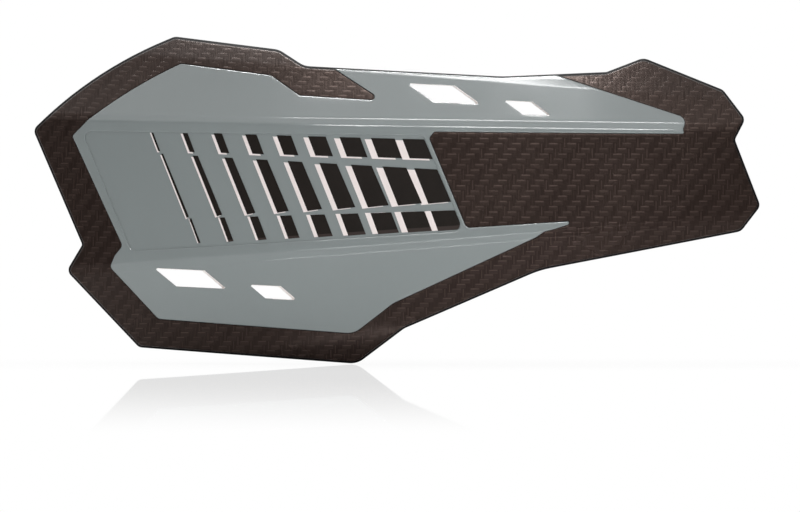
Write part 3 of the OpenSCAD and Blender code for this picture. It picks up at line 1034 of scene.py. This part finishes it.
@dataclass(frozen=True)
class MetalFinish:
    """Bare or plated metal, brushed or blasted, with worn edges."""

    name: str
    tone: Tone
    worn_tone: Tone
    rough: Pair
    metal: float = 1.0
    grain: float = 1500.0
    cloud: float = 70.0
    edge: Pair = (0.52, 0.6)
    relief: float = 0.00002

    def material(self) -> Material:
        """Builds the metal's grain, stains and bright edges.

        Returns:
            The material.
        """
        n = Nodes.finish(self.name)
        grain = n.noise(n.place(), self.grain, 3.0, 0.6)
        cloud = n.noise(n.place(), self.cloud, 5.0)
        edge = n.between(n.add("ShaderNodeNewGeometry").outputs["Pointiness"], *self.edge)
        share = n.plus(n.between(cloud, 0.4, 0.75, 0.0, 0.45), n.times(edge, 0.6), clamp=True)
        return n.shade(Base_Color=n.blend(share, self.tone, self.worn_tone), Metallic=self.metal,
                       Roughness=n.between(grain, 0.3, 0.7, *self.rough),
                       Normal=n.bump(grain, self.relief, 0.5))


@dataclass
class Shield:
    """The moulded shield with its turned-back edge, ribs, bosses and vents."""

    form: Form
    wall: float = 3.0
    lip: float = 9.0
    step: float = 0.8
    pocket: float = 0.8
    rib: float = 1.8
    rib_h: float = 4.0
    rib_pitch: float = 33.0
    rib_count: int = 8
    ribs_before: float = 3.4
    rib_slant: float = 0.4
    rib_from_fold: float = 6.5
    boss_r: float = 5.6
    boss_y: float = 17.0
    insert_r: float = 4.0
    insert_len: float = 8.0
    post_sides: int = 48
    face_ease: float = 0.28
    lip_ease: float = 0.8
    bosses: tuple[Point, ...] = ((34.0, 18.0), (34.0, 0.0), (82.5, 9.0))
    gap: float = 0.15

    def build(self, *finishes: Material) -> Piece:
        """Builds the shield.

        Args:
            finishes: Finishes of the face, the inside and the rim.

        Returns:
            The shield, which stands for the CAD shell.
        """
        body = self.tray()
        body = combine(body, self.ribs(), Side.JOIN)
        for spot in self.bosses:
            body = combine(body, self.post(spot, self.boss_r, self.wall / 2, self.boss_y), Side.JOIN)
        pocket = slab([COVER_OUTLINE.inset(-self.gap).points()], AHEAD, self.pocket, score=SCORES)
        inside = SHIELD_OUTLINE.inset(self.step / 2 - self.gap)
        inner = slab([inside.points()], AHEAD, self.pocket, score=SCORES)
        body = combine(body, combine(pocket, inner, Side.COMMON), Side.CUT)
        for vent in VENTS:
            body = combine(body, vent.cutter(self.form, COLLAR + self.gap), Side.CUT)
        for spot in self.bosses:
            hole = self.post(spot, self.insert_r, self.boss_y - self.insert_len, self.boss_y + 1, True)
            body = combine(body, hole, Side.CUT)
        mesh = take(body)
        ease(mesh, self.face_ease, 2,
             lambda a, b: max(a, b) < CLOSE or max(abs(a - self.step), abs(b - self.step)) < CLOSE)
        ease(mesh, self.lip_ease, 3, lambda a, b: min(a, b) > self.lip - CLOSE)
        piece = self.form.press("guard_shell", mesh)
        # The bosses' ends are made flat again
        end = (self.boss_y - BAR_Y) * MM
        for point in piece.data.vertices:
            if point.co.y > end - 0.4 * MM and self.on_boss(point.co):
                point.co.y = end
        for finish in finishes:
            piece.data.materials.append(finish)
        shade_smooth(piece)
        dress(piece, "shield_weave", "base_shell")
        return piece

    def tray(self) -> Piece:
        """The plate with its stepped rim and turned-back lip, flat.

        Returns:
            The bench solid.
        """
        mesh = bmesh.new()
        front = mesh.faces.new([mesh.verts.new((x, self.step, z)) for x, z in SHIELD_OUTLINE.points()])
        pull(mesh, front, self.lip - self.step)
        bmesh.ops.recalc_face_normals(mesh, faces=mesh.faces)
        front = min(mesh.faces, key=lambda f: f.calc_center_median().y)
        bmesh.ops.inset_region(mesh, faces=[front], thickness=self.step, use_even_offset=True,
                               use_boundary=True)
        front = max((f for f in mesh.faces if abs(f.calc_center_median().y - self.step) < 1e-4),
                    key=lambda f: len(f.verts))
        pull(mesh, front, -self.step, keep=False)
        if front.is_valid:
            bmesh.ops.delete(mesh, geom=[front], context="FACES_ONLY")
        bmesh.ops.recalc_face_normals(mesh, faces=mesh.faces)
        for face in mesh.faces:
            rim = min(vert.co.y for vert in face.verts) > self.step - 0.01
            face.material_index = (Skin.RIM if rim else Skin.FACE).value
        body = on_bench(mesh)
        inside = SHIELD_OUTLINE.inset(self.wall)
        hollow = slab([inside.points()], self.wall, self.lip + 2, Skin.INSIDE, SCORES)
        return combine(body, hollow, Side.CUT)

    def ribs(self) -> Piece:
        """The slanted and long ribs, flat, ending inside the lip.

        Returns:
            The bench solid.
        """
        reach, half = 127.0, self.rib / 2
        strips = []
        for k in range(self.rib_count):
            x = (k - self.ribs_before) * self.rib_pitch
            lean = reach * self.rib_slant
            strips.append([(x - lean - half, reach), (x - lean + half, reach),
                           (x + lean + half, -reach), (x + lean - half, -reach)])
        far = self.wall + self.rib_h
        ribs = slab(strips, self.wall / 2, far, Skin.INSIDE)
        levels = ((self.form.upper_z - self.rib_from_fold, -self.form.upper_tilt),
                  (self.form.lower_z + self.rib_from_fold, -self.form.lower_tilt))
        for z, tilt in levels:
            turn = Matrix.Rotation(tilt, 2)
            strip = [turn @ Vector(p) + Vector((self.form.peak_x, z))
                     for p in ((-260, -half), (260, -half), (260, half), (-260, half))]
            long_rib = slab([[(p.x, p.y) for p in strip]], self.wall / 2, far, Skin.INSIDE)
            ribs = combine(ribs, long_rib, Side.JOIN)
        inner = slab([SHIELD_OUTLINE.inset(self.wall / 2).points()], self.wall / 2, far, Skin.INSIDE)
        return combine(ribs, inner, Side.COMMON)

    def post(self, spot: Point, radius: float, near: float, far: float, near_is_y: bool = False) -> Piece:
        """A round post along the depth.

        Args:
            spot: Place of its axis on the shield.
            radius: Its radius.
            near: Distance of its front behind the face, or its true depth.
            far: True depth of its end.
            near_is_y: Whether the front, too, is given by its true depth.

        Returns:
            The bench solid.
        """
        turns = [2 * math.pi * k / self.post_sides for k in range(self.post_sides)]
        ring = [(spot[0] + radius * math.cos(a), spot[1] + radius * math.sin(a)) for a in turns]
        front = [Vector((x, self.form.inset_at(x, near, z) if near_is_y else near, z)) for x, z in ring]
        back = [Vector((x, self.form.inset_at(x, far, z), z)) for x, z in ring]
        return loft(front, back, Skin.INSIDE)

    def on_boss(self, spot: Vector) -> bool:
        """Tells whether a place lies on a boss's end.

        Args:
            spot: The place in the row frame.

        Returns:
            True on a boss.
        """
        for x, z in self.bosses:
            away = Vector((spot.x / MM + CLAMP_X - x, spot.z / MM + BAR_Z - z))
            if away.length < self.boss_r + 0.1:
                return True
        return False


@dataclass(frozen=True)
class Vent:
    """A slanted vent with rounded corners that is cut towards the outer end."""

    centre: Point
    width: float
    height: float
    slant: float = 1.41
    tilt: float = math.radians(2.8)
    rake: float = math.radians(14)
    corner_r: float = 0.3

    def cutter(self, form: Form, grow: float, skin: Skin = Skin.FACE) -> Piece:
        """The cutting solid, flat.

        Args:
            form: The shield's form.
            grow: How much larger the cut is all round.
            skin: Material slot of the walls that it cuts.

        Returns:
            The bench solid.
        """
        run = self.height * self.slant
        wide, tall = self.width / 2, self.height / 2
        corners = ((-wide - run / 2, tall), (wide - run / 2, tall),
                   (wide + run / 2, -tall), (run / 2 - wide, -tall))
        shape = Outline(tuple((x, z, self.corner_r) for x, z in corners), 0.05).inset(-grow).points()
        turn = Matrix.Rotation(-self.tilt, 2)
        spots = [turn @ Vector(p) for p in shape]
        front = [self.at_depth(form, p, AHEAD) for p in spots]
        back = [self.at_depth(form, p, BEYOND) for p in spots]
        return loft(front, back, skin)

    def at_depth(self, form: Form, spot: Vector, inset: float) -> Vector:
        """Where one line of the cut passes a layer of the shield.

        Args:
            form: The shield's form.
            spot: The line's place from the vent's middle.
            inset: The layer's distance behind the face.

        Returns:
            The place, flat.
        """
        middle = form.depth(*self.centre)
        z = self.centre[1] + spot.y
        x = self.centre[0] + spot.x * math.cos(self.rake)
        start = x
        for _ in range(6):
            x = start - math.tan(self.rake) * (form.depth(x, z, inset) - middle)
        return Vector((x, inset, z))


VENTS = (Vent((17.2, 41.5), 18.1, 6.5), Vent((49.7, 36.0), 11.6, 4.8),
         Vent((-81.6, -30.7), 18.1, 6.5), Vent((-49.6, -36.0), 11.6, 4.8))
# Width of the cover's collar round each vent, and the lines across the vents where faces are divided
COLLAR = 0.9
SCORES = tuple(vent.centre[0] for vent in VENTS)


@dataclass
class Cover:
    """The cover panel with its recess, and the printed stripes in it."""

    form: Form
    wall: float = 3.0
    thickness: float = 1.2
    proud: float = 0.4
    edge_in: float = 0.4
    edge_ease: float = 0.36
    film_ease: float = 0.04
    recess: float = 0.5
    film: float = 0.15
    gap: float = 0.15
    count: int = 9
    pitch: float = 12.2
    first_w: float = 0.8
    growth: float = 1.22
    flank_first_w: float = 0.35
    flank_growth: float = 0.3
    drop: float = 0.5
    ends: Point = (-95.0, 15.0)
    # Heights of each row's upper and lower line at its outer and inner end, where it starts, its slant, its
    # share of the pitch, and whether its flanks drop
    rows: tuple[tuple[float, ...], ...] = (
        (26.6, 23.7, 19, 16.1, -97.2, 0.38, 1.005, 1),
        (18.1, 12.1, -7.2, -0.7, -93.2, 0.4, 1.011, 1),
        (-7.6, -4, -17.6, -11.7, -82.2, 0.37, 0.965, 0))

    def panel(self, finish: Material, wall_painted_light: Material) -> Piece:
        """Builds the cover panel.

        Args:
            finish: Finish of the panel.
            wall_painted_light: Finish of the vents' walls, which are pale in the photo; its near-white
                colour is painted light for the light the walls catch.

        Returns:
            The panel, which stands for the CAD cover.
        """
        body = slab([COVER_OUTLINE.points()], -self.proud, self.thickness - self.proud, score=SCORES)
        inner = slab([SHIELD_OUTLINE.inset(self.edge_in).points()], -self.proud - 1, self.thickness)
        body = combine(body, inner, Side.COMMON)
        body = combine(body, slab([RECESS_OUTLINE.points()], AHEAD, self.recess - self.proud), Side.CUT)
        for vent in VENTS:
            through = slab([((-200, -200), (200, -200), (200, 200), (-200, 200))], 0.0, self.wall)
            body = combine(body, combine(vent.cutter(self.form, COLLAR), through, Side.COMMON), Side.JOIN)
            body = combine(body, vent.cutter(self.form, 0.0, Skin.INSIDE), Side.CUT)
        mesh = take(body)
        ease(mesh, self.edge_ease, 3, lambda a, b: max(a, b) < CLOSE - self.proud)
        piece = self.form.press("guard_cover", mesh)
        piece.data.materials.append(finish)
        piece.data.materials.append(wall_painted_light)
        shade_smooth(piece)
        dress(piece, "cover_grey", "cover_panel")
        return piece

    def height(self, outer: float, inner: float, x: float) -> float:
        """A row line's height at x."""
        return outer + (inner - outer) * (x - self.ends[0]) / (self.ends[1] - self.ends[0])

    def cell(self, row: Sequence[float], k: int, out: float = 0.0, fall: float = 0.0) -> list[Point]:
        """The four corners of one stripe, or of its flank.

        Args:
            row: The row's lines, start, slant and shares of the pitch and the drop.
            k: Number of the stripe.
            out: How far it is moved to the outer end.
            fall: How far it is moved down.

        Returns:
            Its corners.
        """
        x = row[4] + k * self.pitch * row[6]
        width = self.first_w + k * self.growth
        top, foot = self.height(row[0], row[1], x), self.height(row[2], row[3], x)
        run = (top - foot) * row[5]
        corners = ((x, top), (x + width, self.height(row[0], row[1], x + width)),
                   (x + width + run, self.height(row[2], row[3], x + width + run)), (x + run, foot))
        return [(cx - out, cz - fall) for cx, cz in corners]

    def cells(self, flank: bool = False) -> list[list[Point]]:
        """The corners of all stripes, or of all their flanks.

        Args:
            flank: Whether it is the flanks.

        Returns:
            The corners of each.
        """
        out = []
        for row in self.rows:
            for k in range(self.count):
                side = self.flank_first_w + k * self.flank_growth if flank else 0.0
                out.append(self.cell(row, k, side, self.drop * row[7] if flank else 0.0))
        return out

    def film_piece(self, name: str, flank: bool, finish: Material, slot: str, node: str) -> Piece:
        """Builds the black stripes or their white flanks.

        Args:
            name: Name of the piece.
            flank: Whether it is the white flanks.
            finish: Its finish.
            slot: Its material slot.
            node: The CAD node that it stands for.

        Returns:
            The piece.
        """
        far = self.recess - self.proud
        near = far - self.film
        body = slab(self.cells(flank), near, far)
        inner = slab([RECESS_OUTLINE.inset(self.gap).points()], near - 1, far + 1)
        body = combine(body, inner, Side.COMMON)
        if flank:
            body = combine(body, slab(self.cells(), near - 1, far + 1), Side.CUT)
        mesh = take(body)
        ease(mesh, self.film_ease, 1, lambda a, b: max(a, b) < near + 0.01)
        piece = self.form.press(name, mesh, 2.0)
        piece.data.materials.clear()
        piece.data.materials.append(finish)
        shade_smooth(piece)
        dress(piece, slot, node)
        return piece


def shade_smooth(piece: Piece, angle: float = math.radians(32)) -> None:
    """Shades a piece smooth, with the large faces kept true.

    Args:
        piece: The piece.
        angle: Turn in radians up to which an edge is smooth.
    """
    piece.data.shade_smooth()
    piece.data.set_sharp_from_angle(angle=angle)
    even = piece.modifiers.new("even", "WEIGHTED_NORMAL")
    even.keep_sharp = True
    even.weight = 50


def dress(piece: Piece, slot: str, *nodes: str) -> None:
    """Seats a finished piece on its body and names what it stands for.

    Args:
        piece: The piece.
        slot: Its material slot; not used.
        nodes: The CAD nodes that it stands for.
    """
    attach(piece, BODY)
    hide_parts(*nodes)
    LOG.info("%s stands for %s: %d faces", piece.name, ", ".join(nodes), len(piece.data.polygons))


@dataclass
class Hardware:
    """The bracket, clamp and fasteners: the CAD shapes with eased edges and real finishes.

    The sizes of the eased edges are in metres.
    """

    arm_edge: float = 0.0009
    clamp_edge: float = 0.0005
    screw_edge: float = 0.0003
    button_edge: float = 0.00022
    washer_edge: float = 0.00018
    sleeve_edge: float = 0.0002
    segments: int = 3
    sharp: float = math.radians(32)

    def eased(self, name: str, node: str, finish: Material, slot: str, width: float) -> Piece:
        """Copies a CAD node, joins its loose triangles and eases its edges.

        Args:
            name: Name of the piece.
            node: The CAD node.
            finish: Its finish.
            slot: Its material slot.
            width: Size of the eased edge.

        Returns:
            The piece.
        """
        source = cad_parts[node]
        mesh = bmesh.new()
        mesh.from_mesh(source.data)
        bmesh.ops.transform(mesh, matrix=source.matrix_world, verts=mesh.verts)
        bmesh.ops.remove_doubles(mesh, verts=mesh.verts, dist=2e-6)
        bmesh.ops.dissolve_limit(mesh, angle_limit=math.radians(0.6), verts=mesh.verts, edges=mesh.edges)
        mesh.normal_update()
        edges = [e for e in mesh.edges if len(e.link_faces) == 2 and e.calc_face_angle(0.0) > self.sharp]
        bmesh.ops.bevel(mesh, geom=edges, offset=width, offset_type="OFFSET", segments=self.segments,
                        profile=0.5, affect="EDGES", clamp_overlap=True, material=-1)
        for face in mesh.faces:
            face.smooth = True
        piece = finished(name, mesh)
        piece.data.materials.clear()
        piece.data.materials.append(finish)
        shade_smooth(piece, math.radians(38))
        dress(piece, slot, node)
        return piece

    def build(self) -> None:
        """Builds every piece behind the shield."""
        arm = MetalFinish("arm_black", colour(30, 30, 31), colour(58, 58, 60), (0.42, 0.6), 0.35,
                          grain=900.0, relief=0.00005).material()
        alloy = MetalFinish("clamp_alloy", colour(74, 76, 79), colour(112, 114, 117), (0.4, 0.58),
                            grain=1300.0, relief=0.00004).material()
        steel = MetalFinish("fastener_steel", colour(168, 169, 170), colour(212, 212, 210), (0.24, 0.4),
                            grain=1700.0).material()
        washer = MetalFinish("washer_steel", colour(184, 184, 183), colour(214, 213, 210), (0.28, 0.46),
                             grain=1500.0).material()
        brass = MetalFinish("insert_brass", colour(196, 158, 88), colour(226, 196, 132),
                            (0.3, 0.46)).material()
        plan = (
            ("bracket_casting", "bracket_arm", arm, "arm_black", self.arm_edge),
            ("bar_clamp_front", "clamp_body", alloy, "clamp_alloy", self.clamp_edge),
            ("bar_clamp_rear", "clamp_cap", alloy, "clamp_alloy", self.clamp_edge),
            ("clamp_cap_screws", "clamp_screws", steel, "fastener_steel", self.screw_edge),
            ("clamp_screw_washers", "clamp_washers", washer, "washer_steel", self.washer_edge),
            ("eye_bolt", "arm_bolt", steel, "fastener_steel", self.screw_edge),
            ("eye_nut", "arm_nut", steel, "fastener_steel", self.screw_edge),
            ("eye_washers", "arm_washers", washer, "washer_steel", self.washer_edge),
            ("pivot_sleeve", "eye_sleeve", washer, "washer_steel", self.sleeve_edge),
            ("button_screws", "shield_screws", steel, "fastener_steel", self.button_edge),
            ("button_washers", "shield_washers", washer, "washer_steel", self.washer_edge),
            ("boss_inserts", "threaded_inserts", brass, "insert_brass", self.sleeve_edge))
        for name, node, finish, slot, width in plan:
            self.eased(name, node, finish, slot, width)


@dataclass(frozen=True)
class Lamp:
    """A soft box that faces the object.

    The azimuth is in degrees round from the camera's side to the right, the elevation in degrees, the size
    and the distance in metres, and the power in watts.
    """

    name: str
    azimuth: float
    elevation: float
    size: Pair
    power: float
    shows: Shows
    distance: float = 1.2

    def hang(self, aim: Corner) -> None:
        """Adds the lamp to the scene.

        Args:
            aim: The place that it faces.
        """
        data = bpy.data.lights.new(self.name, "AREA")
        data.shape = "RECTANGLE"
        data.size, data.size_y = self.size
        data.energy = self.power
        lamp = bpy.data.objects.new(self.name, data)
        bpy.context.scene.collection.objects.link(lamp)
        turn, rise = math.radians(self.azimuth), math.radians(self.elevation)
        way = Vector((math.sin(turn) * math.cos(rise), -math.cos(turn) * math.cos(rise), math.sin(rise)))
        lamp.location = Vector(aim) + way * self.distance
        lamp.rotation_euler = way.to_track_quat("Z", "Y").to_euler()
        lamp.visible_camera = False
        lamp.visible_diffuse = self.shows is not Shows.GLINT
        lamp.visible_glossy = self.shows is not Shows.LIGHT


@dataclass
class Studio:
    """Pale floor, soft lamps and the camera.

    The floor's shadow and its mirror image are shares, and their reaches are in metres. The sky's strengths
    are those that the object is lit by and mirrors, where 1 is white.
    """

    floor_z: float = -0.0771
    floor_half: float = 30.0
    floor_tone: float = 0.9
    floor_dim: float = 0.6
    aim: Corner = (-0.117, -0.07, -0.03484)
    width: float = 0.312
    distance: float = 6.5
    far_clip: float = 60.0
    elevation: float = math.radians(0.55)
    sky: float = 0.5
    dim: float = 0.2
    ceiling: float = 1.8
    shadow: float = 0.09
    shadow_start: float = 0.05
    shadow_reach: float = 0.35
    mirror: float = 0.25
    mirror_full: float = 0.5
    mirror_reach: float = 3.0
    mirror_rough: float = 0.01
    lamps: tuple[Lamp, ...] = (
        Lamp("key_box", 10, 20, (0.9, 0.7), 3.8, Shows.LIGHT),
        Lamp("top_box", -25, 75, (1.2, 0.6), 0.6, Shows.LIGHT),
        Lamp("back_fill", -140, 25, (1.2, 0.8), 7.0, Shows.LIGHT),
        Lamp("glint_low", 0, 15, (1.3, 0.08), 10.0, Shows.GLINT),
        Lamp("glint_high", 0, 45, (1.3, 0.08), 10.0, Shows.GLINT),
        Lamp("glint_brow", -10, 69, (0.75, 0.16), 8.0, Shows.GLINT),
        Lamp("glint_peak", 27, 78, (0.24, 0.1), 5.5, Shows.GLINT),
        Lamp("glint_edge", -155, 72, (0.6, 0.15), 18.0, Shows.GLINT))

    def floor(self) -> None:
        """Makes the floor, white to the camera, with the object's shadow and a faint mirror image."""
        mesh = bmesh.new()
        bmesh.ops.create_grid(mesh, x_segments=2, y_segments=2, size=self.floor_half)
        bmesh.ops.translate(mesh, verts=mesh.verts, vec=(0, 0, self.floor_z))
        piece = finished("studio_floor", mesh)
        n = Nodes.finish("floor_white")
        n.tree.nodes.remove(n.shader)
        path = n.add("ShaderNodeLightPath").outputs
        place = n.place()
        x, y, _ = n.axes(place)
        # The object mirrors the floor as white behind it, and is lit by a darker one at its outer end
        seen = n.most(path["Is Camera Ray"], path["Is Transmission Ray"])
        seen = n.most(seen, n.times(path["Is Glossy Ray"], n.between(y, 0.05, 0.3)))
        outer = n.between(x, -0.5, 0.0, self.floor_dim, 0.0)
        away = n.add("ShaderNodeVectorMath", operation="DISTANCE")
        n.feed(away.inputs[0], place)
        n.feed(away.inputs[1], (self.aim[0], self.aim[1], 0.0))
        clear = n.between(away.outputs["Value"], self.shadow_start, self.shadow_reach, 1 - self.shadow, 1.0)
        matt = n.add("ShaderNodeBsdfDiffuse")
        n.feed(matt.inputs["Color"], n.minus(self.floor_tone, n.times(path["Is Diffuse Ray"], outer)))
        glow = n.add("ShaderNodeEmission")
        glow.inputs["Strength"].default_value = 1.0
        gloss = n.add("ShaderNodeBsdfGlossy")
        gloss.inputs["Roughness"].default_value = self.mirror_rough
        gloss.inputs["Color"].default_value = (1, 1, 1, 1)
        plain = n.mix(n.times(seen, clear), matt.outputs[0], glow.outputs[0])
        mirrored = n.between(y, -self.mirror_reach, -self.mirror_full, 0.0, self.mirror)
        both = n.mix(mirrored, plain, gloss.outputs[0])
        n.feed(n.tree.nodes["Material Output"].inputs["Surface"], both)
        piece.data.materials.append(n.owner)

    def world(self) -> None:
        """Sets even light all round, seen as white, and dimmer in reflections of the camera's side."""
        world = bpy.data.worlds.new("studio")
        bpy.context.scene.world = world
        n = Nodes(world)
        path = n.add("ShaderNodeLightPath").outputs
        x, y, z = n.axes(n.add("ShaderNodeTexCoord").outputs["Generated"])
        behind = n.between(y, -0.3, 0.0, self.dim, 1.0)
        above = n.between(z, 0.22, 0.5, self.dim, self.ceiling)
        mirrored = n.times(path["Is Glossy Ray"], n.most(behind, above))
        clear = n.most(path["Is Camera Ray"], path["Is Transmission Ray"])
        # The sky lights the object less from below its outer end
        corner = n.between(n.plus(x, z), -1.0, 0.2, self.sky * 0.5, self.sky)
        soft = n.times(path["Is Diffuse Ray"], corner)
        back = n.tree.nodes["Background"]
        back.inputs["Color"].default_value = (1, 1, 1, 1)
        n.feed(back.inputs["Strength"], n.most(n.most(clear, mirrored), soft))

    def camera(self) -> None:
        """Places the camera square to the shield's face, a little above the floor."""
        data = bpy.data.cameras.new("view")
        data.type = "ORTHO"
        data.ortho_scale = self.width
        data.clip_end = self.far_clip
        view = bpy.data.objects.new("view", data)
        bpy.context.scene.collection.objects.link(view)
        way = Vector((0, -math.cos(self.elevation), math.sin(self.elevation)))
        view.location = Vector(self.aim) + way * self.distance
        view.rotation_euler = (math.pi / 2 - self.elevation, 0, 0)
        bpy.context.scene.camera = view

    def build(self) -> None:
        """Sets up the whole studio."""
        self.floor()
        self.world()
        for lamp in self.lamps:
            lamp.hang(self.aim)
        self.camera()
        bpy.context.scene.view_settings.view_transform = "Standard"


def main() -> None:
    """Builds the hand guard and its studio, piece by piece."""
    logging.basicConfig(level=logging.INFO, format="%(message)s")
    Studio().build()
    form = Form()
    inside = MouldedFinish("moulded_inside", colour(30, 29, 29), colour(38, 37, 36)).material()
    rim = MouldedFinish("moulded_rim", colour(13, 12, 12), colour(18, 17, 17), 0.06).material()
    Shield(form).build(WeaveFinish().material(), inside, rim)
    cover = Cover(form)
    # Near-white vent walls: painted light that stands in for the light the walls catch
    pale = MouldedFinish("vent_wall_painted_light", colour(244, 238, 235), colour(236, 229, 226)).material()
    cover.panel(CoverFinish().material(), pale)
    black = FilmFinish("stripe_black", colour(29, 25, 22), colour(33, 28, 25),
                       foot_tone=colour(56, 48, 45)).material()
    white = FilmFinish("stripe_white", colour(231, 221, 219), colour(225, 215, 212), 0.35).material()
    cover.film_piece("stripe_print_black", False, black, "stripe_black", "stripe_field_black")
    cover.film_piece("stripe_print_white", True, white, "stripe_white", "stripe_field_white")
    Hardware().build()


if __name__ == "__main__":
    main()
